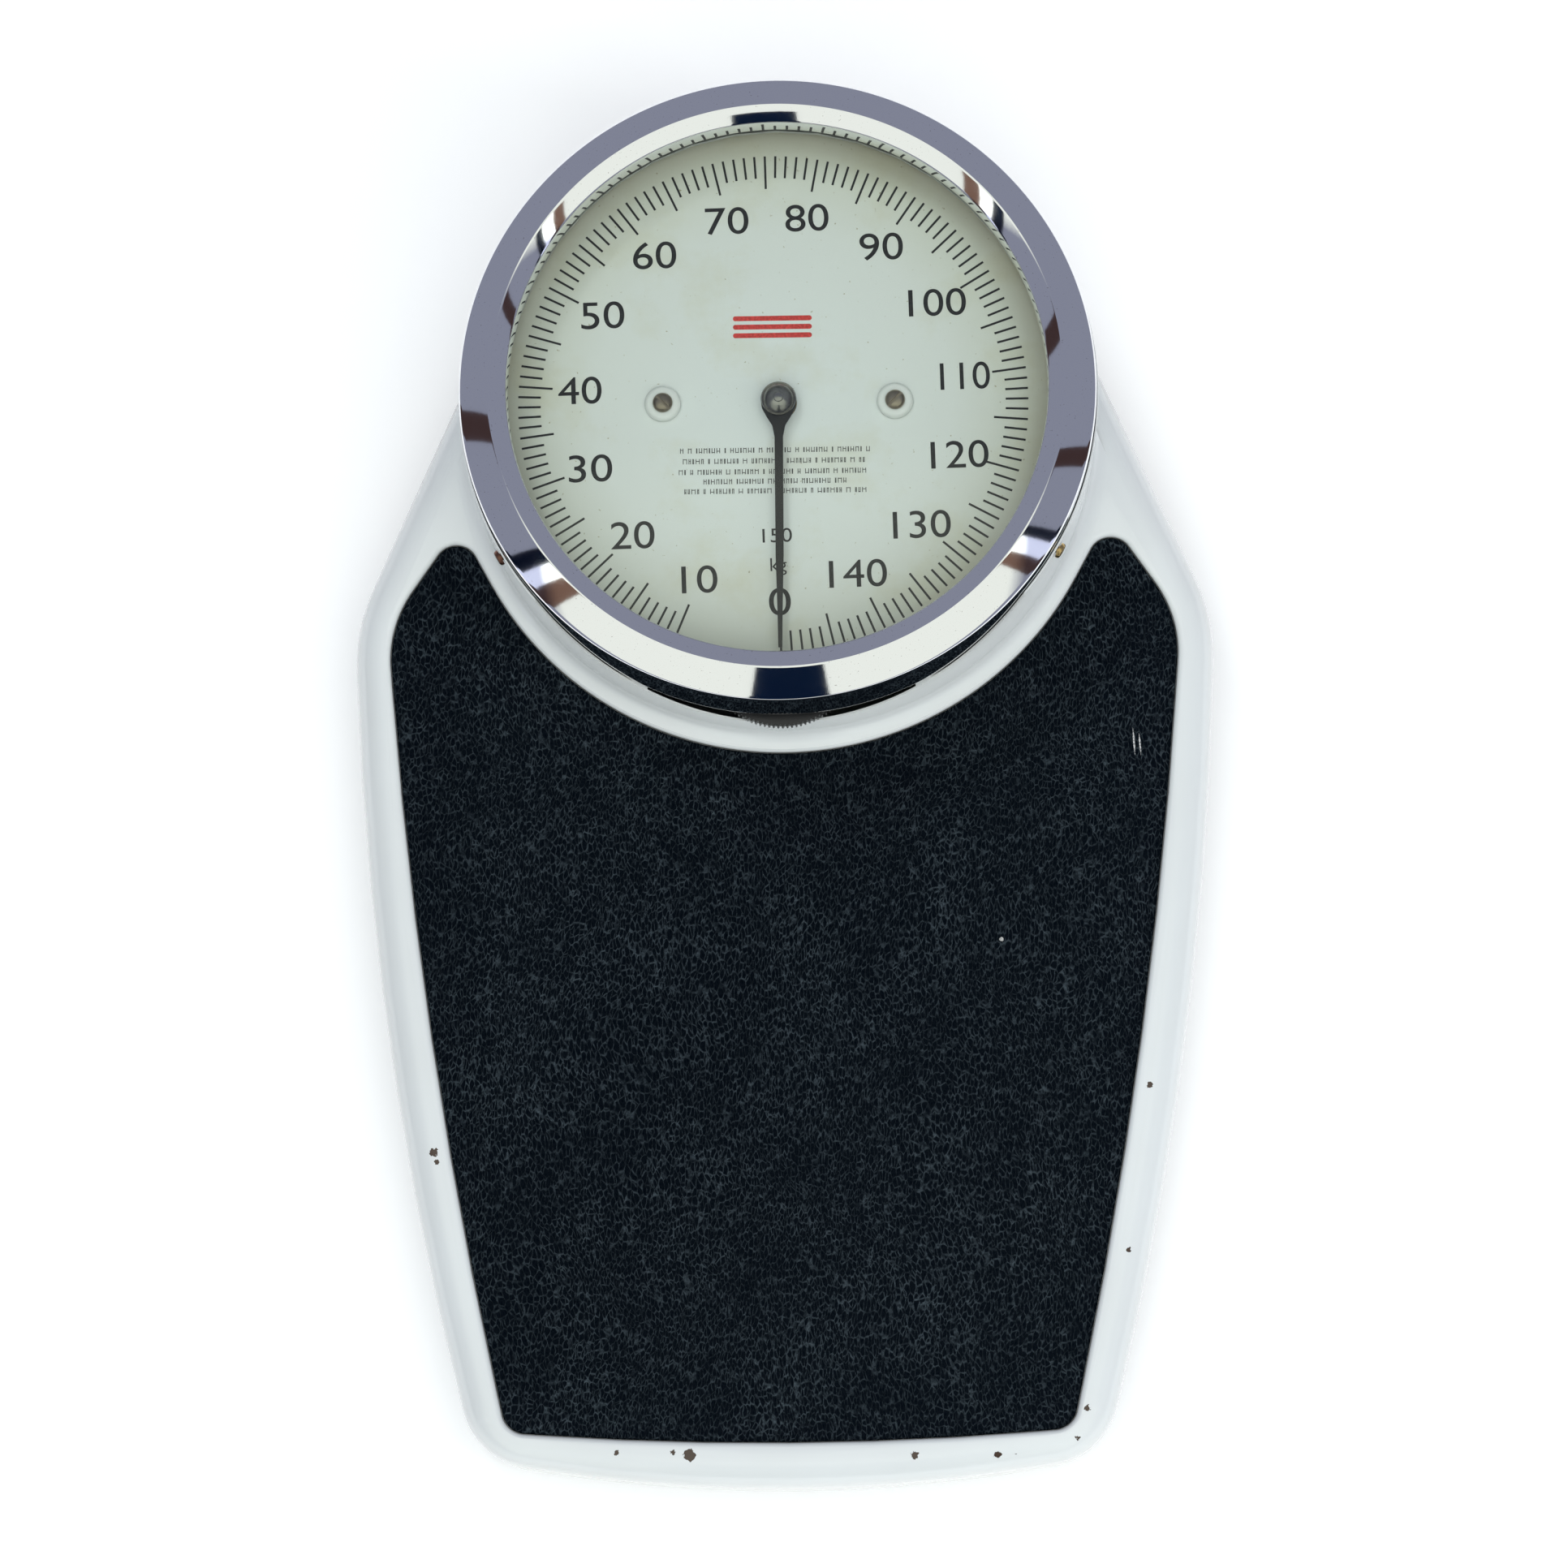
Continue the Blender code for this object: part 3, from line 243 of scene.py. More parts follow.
# ---- material helpers ----------------------------------------------------------------
class Nodes:
    """A node tree with a Principled shader, built a line at a time."""

    def __init__(self, name):
        self.material = bpy.data.materials.new(name)
        self.material.use_nodes = True
        self.tree = self.material.node_tree
        self.shader = self.tree.nodes["Principled BSDF"]
        self.output = self.tree.nodes["Material Output"]

    def add(self, kind, **settings):
        node = self.tree.nodes.new(kind)
        for key, value in settings.items():
            setattr(node, key, value)
        return node

    def link(self, source, target):
        self.tree.links.new(source, target)

    def place(self, scale=(1, 1, 1)):
        """Object coordinates in metres, optionally stretched."""
        mapping = self.add("ShaderNodeMapping")
        mapping.inputs["Scale"].default_value = scale
        self.link(self.add("ShaderNodeTexCoord").outputs["Object"], mapping.inputs["Vector"])
        return mapping.outputs["Vector"]

    def noise(self, scale, detail=4.0, roughness=0.55, where=None):
        node = self.add("ShaderNodeTexNoise")
        node.inputs["Scale"].default_value = scale
        node.inputs["Detail"].default_value = detail
        node.inputs["Roughness"].default_value = roughness
        self.link(where if where is not None else self.place(), node.inputs["Vector"])
        return node

    def ramp(self, value, stops):
        """Colour ramp; stops are (position, grey or colour)."""
        node = self.add("ShaderNodeValToRGB")
        while len(node.color_ramp.elements) < len(stops):
            node.color_ramp.elements.new(0.5)
        for element, (position, colour) in zip(node.color_ramp.elements, stops):
            element.position = position
            shade = (colour,) * 3 if isinstance(colour, (int, float)) else colour
            element.color = (*shade, 1)
        self.link(value, node.inputs["Fac"])
        return node.outputs["Color"]

    def mix(self, factor, a, b, blend="MIX"):
        node = self.add("ShaderNodeMix", data_type="RGBA", blend_type=blend)
        for socket, value in ((node.inputs[0], factor), (node.inputs[6], a), (node.inputs[7], b)):
            if isinstance(value, (int, float)):
                socket.default_value = value
            elif isinstance(value, tuple):
                socket.default_value = (*value, 1)
            else:
                self.link(value, socket)
        return node.outputs[2]

    def math(self, operation, a, b=None):
        node = self.add("ShaderNodeMath", operation=operation)
        for socket, value in zip(node.inputs, (a, b)):
            if value is None:
                continue
            if isinstance(value, (int, float)):
                socket.default_value = value
            else:
                self.link(value, socket)
        return node.outputs[0]

    def remap(self, value, low, high):
        """A 0..1 value carried to low..high."""
        node = self.add("ShaderNodeMapRange")
        node.inputs["To Min"].default_value = low
        node.inputs["To Max"].default_value = high
        self.link(value, node.inputs["Value"])
        return node.outputs["Result"]

    def bump(self, height, depth, strength=1.0, onto=None):
        node = self.add("ShaderNodeBump")
        node.inputs["Strength"].default_value = strength
        node.inputs["Distance"].default_value = depth
        self.link(height, node.inputs["Height"])
        if onto is not None:
            self.link(onto, node.inputs["Normal"])
        return node.outputs["Normal"]

    def set(self, **values):
        """Sets or links shader inputs; underscores stand for spaces."""
        for key, value in values.items():
            socket = self.shader.inputs[key.replace("_", " ")]
            if isinstance(value, (int, float)):
                socket.default_value = value
            elif isinstance(value, tuple):
                socket.default_value = (*value, 1)
            else:
                self.link(value, socket)
        return self

    def spots(self, places, wobble):
        """1 near any of the (x, y, z, radius) places, with ragged edges."""
        where = self.place()
        ragged = self.add("ShaderNodeVectorMath", operation="MULTIPLY_ADD")
        self.link(self.noise(900, 3).outputs["Color"], ragged.inputs[0])
        ragged.inputs[1].default_value = (wobble,) * 3
        self.link(where, ragged.inputs[2])
        total = None
        for x, y, z, radius in places:
            gap = self.add("ShaderNodeVectorMath", operation="DISTANCE")
            self.link(ragged.outputs[0], gap.inputs[0])
            gap.inputs[1].default_value = (x + wobble / 2, y + wobble / 2, z + wobble / 2)
            near = self.math("LESS_THAN", gap.outputs["Value"], radius)
            total = near if total is None else self.math("MAXIMUM", total, near)
        return total


def crevice(n, distance):
    """Ambient occlusion used as painted shade: 1 in open places, lower in corners and joints."""
    node = n.add("ShaderNodeAmbientOcclusion", samples=8)
    node.inputs["Distance"].default_value = distance
    return node.outputs["AO"]


ENAMEL_CHIPS = [                      # (x, y, radius) on top of the rim, where it has been knocked
    (-0.1286, -0.1325, 0.0016), (-0.1275, -0.136, 0.0011), (0.1321, -0.1105, 0.0013),
    (-0.0359, -0.2425, 0.0022), (-0.0622, -0.2415, 0.0010), (-0.0417, -0.2415, 0.0011),
    (0.045, -0.2432, 0.0014), (0.0751, -0.2436, 0.0016), (0.081, -0.2434, 0.0012),
    (0.1037, -0.2382, 0.0015), (0.1074, -0.2269, 0.0012), (0.123, -0.1702, 0.0010),
]
CHIP_Z = RIM_TOP - 0.5 * MM


def enamel():
    """Glossy white with slight orange peel, painted shade in corners, a painted beige shade on the rim's low
    outer side, and brown chips.
    """
    n = Nodes("white_enamel")
    tone = n.ramp(n.noise(9, 3).outputs["Fac"], [(0.3, (0.69, 0.71, 0.705)), (0.7, (0.74, 0.765, 0.765))])
    # painted shade: ambient occlusion darkens the enamel in corners and joints
    corner_shade = n.ramp(crevice(n, 0.004), [(0.25, (0.16, 0.13, 0.10)), (0.75, 1.0)])
    tone = n.mix(0.4, tone, corner_shade, "MULTIPLY")
    height = n.add("ShaderNodeSeparateXYZ")
    n.link(n.place(), height.inputs[0])
    # painted shade: the rim's outer side is tinted beige below about 49.5 mm high, fully below 40 mm
    low = n.ramp(n.math("DIVIDE", height.outputs["Z"], 0.1), [(0.40, (0.93, 0.885, 0.85)), (0.495, 1.0)])
    tone = n.mix(0.85, tone, low, "MULTIPLY")
    chips = n.spots([(x, y, CHIP_Z, radius) for x, y, radius in ENAMEL_CHIPS], 0.0022)
    tone = n.mix(chips, tone, (0.045, 0.022, 0.012))
    peel = n.bump(n.noise(260, 2).outputs["Fac"], 0.00006, 0.35)
    peel = n.bump(n.math("SUBTRACT", 1.0, chips), 0.0002, 0.6, peel)
    n.set(Base_Color=tone, Roughness=n.remap(n.noise(40, 5).outputs["Fac"], 0.16, 0.30), Normal=peel,
          Coat_Weight=0.5, Coat_Roughness=0.08, IOR=1.55)
    return n.material


def leatherette():
    """Embossed black cover: fine creased grain, longer along the platform, with painted highlights as pale
    lines along its creases.
    """
    n = Nodes("black_leatherette")

    def shifted(source, noise_scale, reach):
        centred = n.add("ShaderNodeVectorMath", operation="SUBTRACT")
        n.link(n.noise(noise_scale, 2).outputs["Color"], centred.inputs[0])
        centred.inputs[1].default_value = (0.5, 0.5, 0.5)
        moved = n.add("ShaderNodeVectorMath", operation="MULTIPLY_ADD")
        n.link(centred.outputs[0], moved.inputs[0])
        moved.inputs[1].default_value = (reach,) * 3
        n.link(source, moved.inputs[2])
        return moved.outputs[0]

    grain = n.add("ShaderNodeMapping")
    grain.inputs["Scale"].default_value = (1.0, 0.42, 1.0)
    n.link(shifted(shifted(n.place(), 9, 0.03), 160, 0.0022), grain.inputs["Vector"])

    def cells(scale):
        node = n.add("ShaderNodeTexVoronoi", feature="DISTANCE_TO_EDGE")
        node.inputs["Scale"].default_value = scale
        n.link(grain.outputs["Vector"], node.inputs["Vector"])
        return node.outputs["Distance"]

    ridge = n.ramp(cells(740), [(0.02, 1.0), (0.15, 0.0)])
    fine = n.ramp(cells(1500), [(0.05, 1.0), (0.35, 0.0)])
    strength = n.ramp(n.noise(420, 3, 0.7).outputs["Fac"], [(0.40, 0.15), (0.72, 1.0)])
    patch = n.ramp(n.noise(30, 4, 0.6).outputs["Fac"], [(0.30, 0.45), (0.70, 1.0)])
    lines = n.math("MULTIPLY", n.math("MULTIPLY", ridge, strength), patch)
    # painted highlight: pale lines along the grain's cell edges stand in for light catching the creases
    tone = n.mix(lines, (0.0007, 0.0022, 0.0046), (0.060, 0.080, 0.094))
    tone = n.mix(n.math("MULTIPLY", fine, 0.05), tone, (0.045, 0.054, 0.064))
    marks = n.spots([(0.079, -0.0562, MAT_TOP, 0.0008)], 0.0006)
    tone = n.mix(marks, tone, (0.45, 0.45, 0.43))
    height = n.bump(ridge, 0.00030, 0.8, n.bump(fine, 0.00008, 0.5))
    n.set(Base_Color=tone, Roughness=n.remap(patch, 0.52, 0.40), Normal=height,
          Specular_IOR_Level=n.remap(lines, 0.01, 0.12))
    return n.material


def scratch_paint():
    """The pale backing that shows in a scuff."""
    n = Nodes("scratch_white")
    n.set(Base_Color=n.ramp(n.noise(1500).outputs["Fac"], [(0.35, 0.10), (0.6, 0.6)]), Roughness=0.7)
    return n.material


def chrome(name, flare=0.0):
    """Bright plate with haze, pits and polishing streaks; a flared skirt leans outwards a little."""
    n = Nodes(name)
    haze = n.noise(70, 6, 0.65).outputs["Fac"]
    pits = n.ramp(n.noise(1400, 2).outputs["Fac"], [(0.26, (0.25, 0.22, 0.2)), (0.31, 1.0)])
    streaks = n.noise(35, 5, 0.7, n.place((6, 1, 6))).outputs["Fac"]
    normal = None
    if flare:
        facing = n.add("ShaderNodeTexCoord").outputs["Normal"]
        parts = n.add("ShaderNodeSeparateXYZ")
        n.link(facing, parts.inputs[0])
        from_axis = n.add("ShaderNodeVectorMath", operation="SUBTRACT")
        n.link(n.place(), from_axis.inputs[0])
        from_axis.inputs[1].default_value = (0, DIAL_Y, 0)
        outward = n.add("ShaderNodeVectorMath", operation="DOT_PRODUCT")
        n.link(from_axis.outputs[0], outward.inputs[0])
        n.link(facing, outward.inputs[1])
        skirt = n.math("MULTIPLY", n.math("GREATER_THAN", outward.outputs["Value"], 0.05),
                       n.math("LESS_THAN", n.math("ABSOLUTE", parts.outputs["Z"]), 0.2))
        lean = n.add("ShaderNodeVectorMath", operation="MULTIPLY_ADD")
        n.link(skirt, lean.inputs[0])
        lean.inputs[1].default_value = (0, 0, flare)
        n.link(facing, lean.inputs[2])
        unit = n.add("ShaderNodeVectorMath", operation="NORMALIZE")
        n.link(lean.outputs[0], unit.inputs[0])
        normal = unit.outputs[0]
    n.set(Base_Color=n.mix(0.55, (0.86, 0.86, 0.885), pits, "MULTIPLY"), Metallic=1.0,
          Roughness=n.remap(haze, 0.02, 0.075), Normal=n.bump(streaks, 0.00002, 0.25, normal))
    return n.material


def metal(name, tint, rough):
    """Plated or bare metal with drawn lines and stains."""
    n = Nodes(name)
    lines = n.noise(500, 3, 0.6, n.place((1, 9, 1))).outputs["Fac"]
    stain = n.ramp(n.noise(45, 5).outputs["Fac"], [(0.3, tuple(c * 0.6 for c in tint)), (0.65, tint)])
    n.set(Base_Color=stain, Metallic=1.0, Roughness=n.remap(lines, rough - 0.08, rough + 0.10),
          Normal=n.bump(lines, 0.00003, 0.4))
    return n.material


def paint(name, tint, rough, speckle=0.12):
    """Sprayed paint or plain moulding: fine texture, slight shade changes, painted shade in corners."""
    n = Nodes(name)
    darker = tuple(c * (1 - speckle) for c in tint)
    tone = n.ramp(n.noise(30, 5).outputs["Fac"], [(0.3, darker), (0.7, tint)])
    # painted shade: ambient occlusion darkens corners and joints
    tone = n.mix(0.6, tone, n.ramp(crevice(n, 0.003), [(0.2, 0.35), (0.8, 1.0)]), "MULTIPLY")
    n.set(Base_Color=tone, Roughness=n.remap(n.noise(120, 4).outputs["Fac"], rough - 0.07, rough + 0.07),
          Normal=n.bump(n.noise(1300, 2).outputs["Fac"], 0.00004, 0.4))
    return n.material


def rubber():
    """Black rubber, dusty in patches."""
    n = Nodes("foot_rubber")
    dust = n.ramp(n.noise(90, 6).outputs["Fac"], [(0.4, (0.02, 0.02, 0.02)), (0.75, (0.075, 0.07, 0.065))])
    n.set(Base_Color=dust, Roughness=0.82, Normal=n.bump(n.noise(1100, 4).outputs["Fac"], 0.0001, 0.6))
    return n.material


def dial_paint():
    """Off-white print ground, yellowed towards its edge with painted shade darkening its rim, and stained in
    places.
    """
    n = Nodes("dial_ground")
    offset = n.add("ShaderNodeVectorMath", operation="DISTANCE")
    n.link(n.place(), offset.inputs[0])
    offset.inputs[1].default_value = (-0.002, DIAL_Y, DIAL_TOP)
    # yellowed towards the edge from age, and darkened brown at the rim as painted shade under the bezel
    edge_yellowing_and_shade = n.ramp(n.math("DIVIDE", offset.outputs["Value"], 0.105),
                    [(0.0, (0.78, 0.825, 0.835)), (0.62, (0.76, 0.795, 0.78)), (0.86, (0.70, 0.725, 0.655)),
                     (1.0, (0.55, 0.52, 0.42))])
    stains = n.ramp(n.noise(24, 6, 0.6).outputs["Fac"], [(0.28, (0.90, 0.87, 0.76)), (0.5, 1.0)])
    specks = n.ramp(n.noise(600, 2).outputs["Fac"], [(0.24, (0.6, 0.55, 0.42)), (0.29, 1.0)])
    tone = n.mix(1.0, n.mix(1.0, edge_yellowing_and_shade, stains, "MULTIPLY"), specks, "MULTIPLY")
    n.set(Base_Color=tone, Roughness=n.remap(n.noise(80).outputs["Fac"], 0.42, 0.55),
          Normal=n.bump(n.noise(700, 3).outputs["Fac"], 0.00002, 0.3))
    return n.material


def ink(name, tint):
    """Printing ink, a little thin in places."""
    n = Nodes(name)
    worn = n.ramp(n.noise(1200, 3).outputs["Fac"], [(0.3, tuple(min(1, c * 1.6 + 0.01) for c in tint)),
                                                   (0.6, tint)])
    n.set(Base_Color=worn, Roughness=0.55)
    return n.material


def window_glass():
    """Clear pane: sees through, mirrors more at a slant, with faint smears."""
    n = Nodes("clear_glass")
    clear = n.add("ShaderNodeBsdfTransparent")
    clear.inputs["Color"].default_value = (0.975, 0.988, 0.968, 1)
    mirror = n.add("ShaderNodeBsdfGlossy")
    n.link(n.remap(n.noise(30, 5).outputs["Fac"], 0.01, 0.06), mirror.inputs["Roughness"])
    slant = n.add("ShaderNodeFresnel")
    slant.inputs["IOR"].default_value = 1.46
    blend = n.add("ShaderNodeMixShader")
    n.link(n.math("MULTIPLY", slant.outputs[0], 0.6), blend.inputs[0])
    n.link(clear.outputs[0], blend.inputs[1])
    n.link(mirror.outputs[0], blend.inputs[2])
    n.link(blend.outputs[0], n.output.inputs["Surface"])
    n.tree.nodes.remove(n.shader)
    return n.material


def dress(obj, material):
    obj.data.materials.clear()
    obj.data.materials.append(material)
    return obj


def show(obj, material, body, slot, *nodes):
    """Finish, body, record slot (not used) and the CAD nodes that a visible piece stands for."""
    dress(obj, material)
    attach(obj, body)
    if nodes:
        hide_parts(*nodes)
    return obj


# ---- platform ------------------------------------------------------------------------
def casing_shape():
    """Enamelled shell: rounded rim, mat recess, dial boss with a fillet, and the finger notch."""
    spring_line = RIM_TOP - RIM_ROUND_HEIGHT
    rim = [(3.2 * MM, CASING_BOTTOM), (0.3 * MM, CASING_BOTTOM), (0, CASING_BOTTOM + 0.4 * MM),
           (WALL_DRAFT, spring_line)]
    rim += [(WALL_DRAFT + RIM_ROUND * (1 - math.cos(angle)),
             spring_line + RIM_ROUND_HEIGHT * math.sin(angle)) for angle in quarter(14)]
    slab = stacked("casing", CASING_LOOP, rim)
    cavity = stacked("cavity", CASING_LOOP, [(WALL, -5 * MM), (WALL, DECK_UNDER)])

    lip_drop, lip_reach = 1.9 * MM, 2.2 * MM
    flare = [(0, DECK_TOP), (0, RIM_TOP - lip_drop)]
    flare += [(-lip_reach * (1 - math.cos(angle)), RIM_TOP - lip_drop + 1.95 * MM * math.sin(angle))
              for angle in quarter(8)]
    flare.append((-lip_reach, RIM_TOP + 12 * MM))
    recess = stacked("recess", MAT_LOOP, flare)
    well = turned("well", [(0, 43.8 * MM), (WELL_R, 43.8 * MM), (WELL_R, 58 * MM), (0, 58 * MM)],
                  closed=False)
    slab = boolean(slab, [cavity, recess, well], "DIFFERENCE")

    boss = turned("boss", [
        (BOSS_BORE_R, BOSS_TOP), (BOSS_TOP_R - 0.15 * MM, BOSS_TOP), (BOSS_TOP_R, BOSS_TOP - 0.2 * MM),
        (BOSS_BASE_R, RIM_TOP), (BOSS_BASE_R, BOSS_FOOT), (BOSS_BORE_R, BOSS_FOOT),
        (BOSS_BORE_R, BOSS_SEAT_LOW), (BOSS_SEAT_R, BOSS_SEAT_LOW),
        (BOSS_SEAT_R, BOSS_SEAT_HIGH), (BOSS_BORE_R, BOSS_SEAT_HIGH)])
    fillet_r, fillet_top = BOSS_BASE_R + FILLET, RIM_TOP + FILLET
    sweep = [(WELL_R, fillet_top), (BOSS_BASE_R, fillet_top)]
    sweep += [(fillet_r - FILLET * math.cos(angle), fillet_top - FILLET * math.sin(angle))
              for angle in quarter(10)]
    sweep += [(fillet_r, RIM_TOP - 3 * MM), (WELL_R, RIM_TOP - 3 * MM)]
    fillet = turned("fillet", sweep)
    keep = stacked("keep", CASING_LOOP, [(12 * MM, 33 * MM), (12 * MM, 73 * MM)])
    fillet = boolean(fillet, [keep], "INTERSECT")
    casing = boolean(slab, [boss, fillet], "UNION")

    axis_z = SCOOP_BOTTOM + SCOOP_R
    half = math.acos((axis_z - BOSS_TOP - 1 * MM) / SCOOP_R)
    steps = 60
    notch = [(SCOOP_R * math.sin(a), axis_z - SCOOP_R * math.cos(a))
             for a in (-half + 2 * half * k / steps for k in range(steps + 1))]
    scoop = prism("scoop", notch, -35 * MM, 35 * MM)
    scoop.rotation_euler = (math.pi / 2, 0, 0)
    scoop.location = (0, DIAL_Y - 85 * MM, 0)
    return smooth(boolean(casing, [scoop], "DIFFERENCE"), 32)


def mat_shape():
    """Mat with a softened upper edge."""
    levels = [(0.3 * MM, DECK_TOP + 0.3 * MM), (0.3 * MM, DECK_TOP + 1.5 * MM),
              (0.45 * MM, DECK_TOP + 2.0 * MM), (0.9 * MM, MAT_TOP)]
    return smooth(stacked("mat", MAT_LOOP, levels), 60)


def scratches():
    """Two parallel scuffs in the mat, each a thin sliver with tapered ends."""
    bm = bmesh.new()
    for x, y, length in ((0.1290, 0.0165, 0.0105), (0.1312, 0.0155, 0.0085)):
        low, high = Vector((x, y - length / 2)), Vector((x - 0.0006, y + length / 2))
        side = Vector((0.0003, 0))
        add_block(bm, [low, (low * 2 + high) / 3 + side, (low + high * 2) / 3 + side, high,
                       (low + high * 2) / 3 - side, (low * 2 + high) / 3 - side],
                  MAT_TOP - 0.1 * MM, MAT_TOP + 0.05 * MM)
    return mesh_object("mat_scratches", bm)


def bezel_shape():
    """Ring with an inner lip, two cones that meet in a rounded crest, and a deep side wall."""
    wall = 1.3
    profile = [(97.5, 107.8), (97.5, 116.4), (97.7, 117.0), (98.2, 117.4), (102.9, 119.45), (103.4, 119.7),
               (103.9, 119.7), (104.4, 119.5), (113.7, 114.25), (114.5, 113.7), (114.9, 113.1), (115, 112.4),
               (115, 111.9), (115, 85.8), (115, 85.2), (114.8, 84.75), (114.4, 84.6),
               (115 - wall, 84.6), (115 - wall, 112.6), (103.7, 118.0), (97.5 + wall, 115.7),
               (97.5 + wall, 107.8)]
    return smooth(turned("bezel_ring", [(r * MM, z * MM) for r, z in profile], steps=256), 50)


def slotted(screw, half_width, bottom):
    """The screw with a straight slot cut across its head."""
    slot = prism("slot", rectangle(4 * MM, half_width), bottom, bottom + 2.9 * MM)
    return boolean(screw, [slot], "DIFFERENCE")


def screw_shape(name, angle):
    """Slotted cheese-head screw lying radially through the bezel's side wall."""
    profile = [(0, 1.836), (1.9, 1.8), (2.55, 1.584), (2.85, 1.152), (2.95, 0.216),
               (1.4, 0.216), (1.4, -2.304), (0, -2.304)]
    screw = turned(name, [(r * MM, z * MM) for r, z in profile], (0, 0), 48, False)
    screw = slotted(screw, 0.4 * MM, 1.1 * MM)
    out = Vector((math.cos(angle), math.sin(angle), 0))
    place = Matrix.Translation(Vector((0, DIAL_Y, BEZEL_SCREW_Z)) + out * BOSS_BASE_R)
    turn = out.to_track_quat("Z", "Y").to_matrix().to_4x4() @ Matrix.Rotation(0.5, 4, "Z")
    screw.data.transform(place @ turn)
    return smooth(screw, 35)


def glass_shape():
    """Pane with a slight dome and a flat edge."""
    flat_r, edge_r, rise, thick = 98.5 * MM, 108 * MM, 8 * MM, 2.4 * MM
    bend = (edge_r ** 2 + rise ** 2) / (2 * rise)

    def crown(r):
        dome = math.sqrt(bend ** 2 - r ** 2) - (bend - rise)
        lip = math.sqrt(bend ** 2 - flat_r ** 2) - (bend - rise)
        return max(0.0, dome - lip)

    radii = [flat_r * k / 24 for k in range(25)] + [edge_r]
    upper = [(r, GLASS_EDGE_Z + thick + crown(r)) for r in radii]
    lower = [(r, GLASS_EDGE_Z + crown(r)) for r in reversed(radii)]
    return smooth(turned("pane", upper + lower, closed=False), 60)


def gasket_shape():
    """Flat rubber ring with rounded edges."""
    profile = arc((106.9, 104.1), 0.6, -90, 90, 6) + arc((100.1, 104.1), 0.6, 90, 270, 6)
    return smooth(turned("seal", [(r * MM, z * MM) for r, z in profile]), 60)


# ---- dial ----------------------------------------------------------------------------
PRINT_X = -2.2 * MM                   # the plate sits slightly left of the ring's centre
PRINT_Z = DIAL_TOP + 0.03 * MM
PRINT_TURN = math.radians(1.46)
KILO = math.radians(2.4)


def dial_angle(kilos):
    """Direction of a weight on the dial: nought at the heel side, clockwise from there."""
    return -math.pi / 2 - kilos * KILO + PRINT_TURN


def ticks():
    """A stroke for each kilogram from 10 to 150, longer at each five."""
    outer_r, long_tick, short_tick, half_width = 93.2 * MM, 12.4 * MM, 8.3 * MM, 0.40 * MM
    bm = bmesh.new()
    centre = Vector((PRINT_X, DIAL_Y))
    for kilos in range(10, 151):
        angle = dial_angle(kilos)
        length = long_tick if kilos % 5 == 0 else short_tick
        along = Vector((math.cos(angle), math.sin(angle)))
        across = Vector((-along.y, along.x)) * half_width
        outer, inner = centre + along * outer_r, centre + along * (outer_r - length)
        add_block(bm, [inner - across, outer - across, outer + across, inner + across],
                  DIAL_TOP - 0.02 * MM, PRINT_Z)
    return mesh_object("dial_ticks", bm)


def written(text, x, y, height):
    """Figures centred on a point; ones take less width than the other figures."""
    curve = bpy.data.curves.new("text", "FONT")
    curve.body = text
    curve.align_x, curve.align_y = "CENTER", "CENTER"
    curve.extrude = 0.02
    obj = new_object("text_" + text, curve)
    bpy.context.view_layer.update()
    mesh = bpy.data.meshes.new_from_object(obj.evaluated_get(bpy.context.evaluated_depsgraph_get()))
    bpy.data.objects.remove(obj, do_unlink=True)
    xs, ys = [v.co.x for v in mesh.vertices], [v.co.y for v in mesh.vertices]
    scale = height / (max(ys) - min(ys))
    width = height * sum(0.50 if letter == "1" else 0.78 for letter in text)
    across = width / (max(xs) - min(xs)) if text.isdigit() else scale
    middle = Vector(((min(xs) + max(xs)) / 2, (min(ys) + max(ys)) / 2, 0))
    turn = Matrix.Rotation(PRINT_TURN, 4, "Z")
    mesh.transform(Matrix.Translation((x, y, DIAL_TOP)) @ turn
                   @ Matrix.Diagonal((across, scale, 1.5 * MM, 1)) @ Matrix.Translation(-middle))
    return mesh


def joined(name, meshes):
    bm = bmesh.new()
    for mesh in meshes:
        bm.from_mesh(mesh)
        bpy.data.meshes.remove(mesh)
    return mesh_object(name, bm, outwards=False)


def numerals():
    """The tens round the dial, and the nought, unit and capacity above the pointer's tip."""
    figure_r, figure_height = 70.8 * MM, 10.2 * MM
    meshes = [written(str(kilos), PRINT_X + figure_r * math.cos(dial_angle(kilos)),
                      DIAL_Y + figure_r * math.sin(dial_angle(kilos)), figure_height)
              for kilos in range(10, 150, 10)]
    meshes.append(written("0", PRINT_X + 2 * MM, DIAL_Y - 74 * MM, figure_height))
    meshes.append(written("kg", PRINT_X + 1.6 * MM, DIAL_Y - 61 * MM, 6.4 * MM))
    meshes.append(written("150", PRINT_X + 1.2 * MM, DIAL_Y - 49.4 * MM, 5.2 * MM))
    return joined("dial_numerals", meshes)


def add_patch(bm, corners, z):
    """Adds a flat printed patch; corners are millimetres from the middle of the dial."""
    bm.faces.new([bm.verts.new((PRINT_X + u * MM, DIAL_Y + v * MM, z)) for u, v in corners])


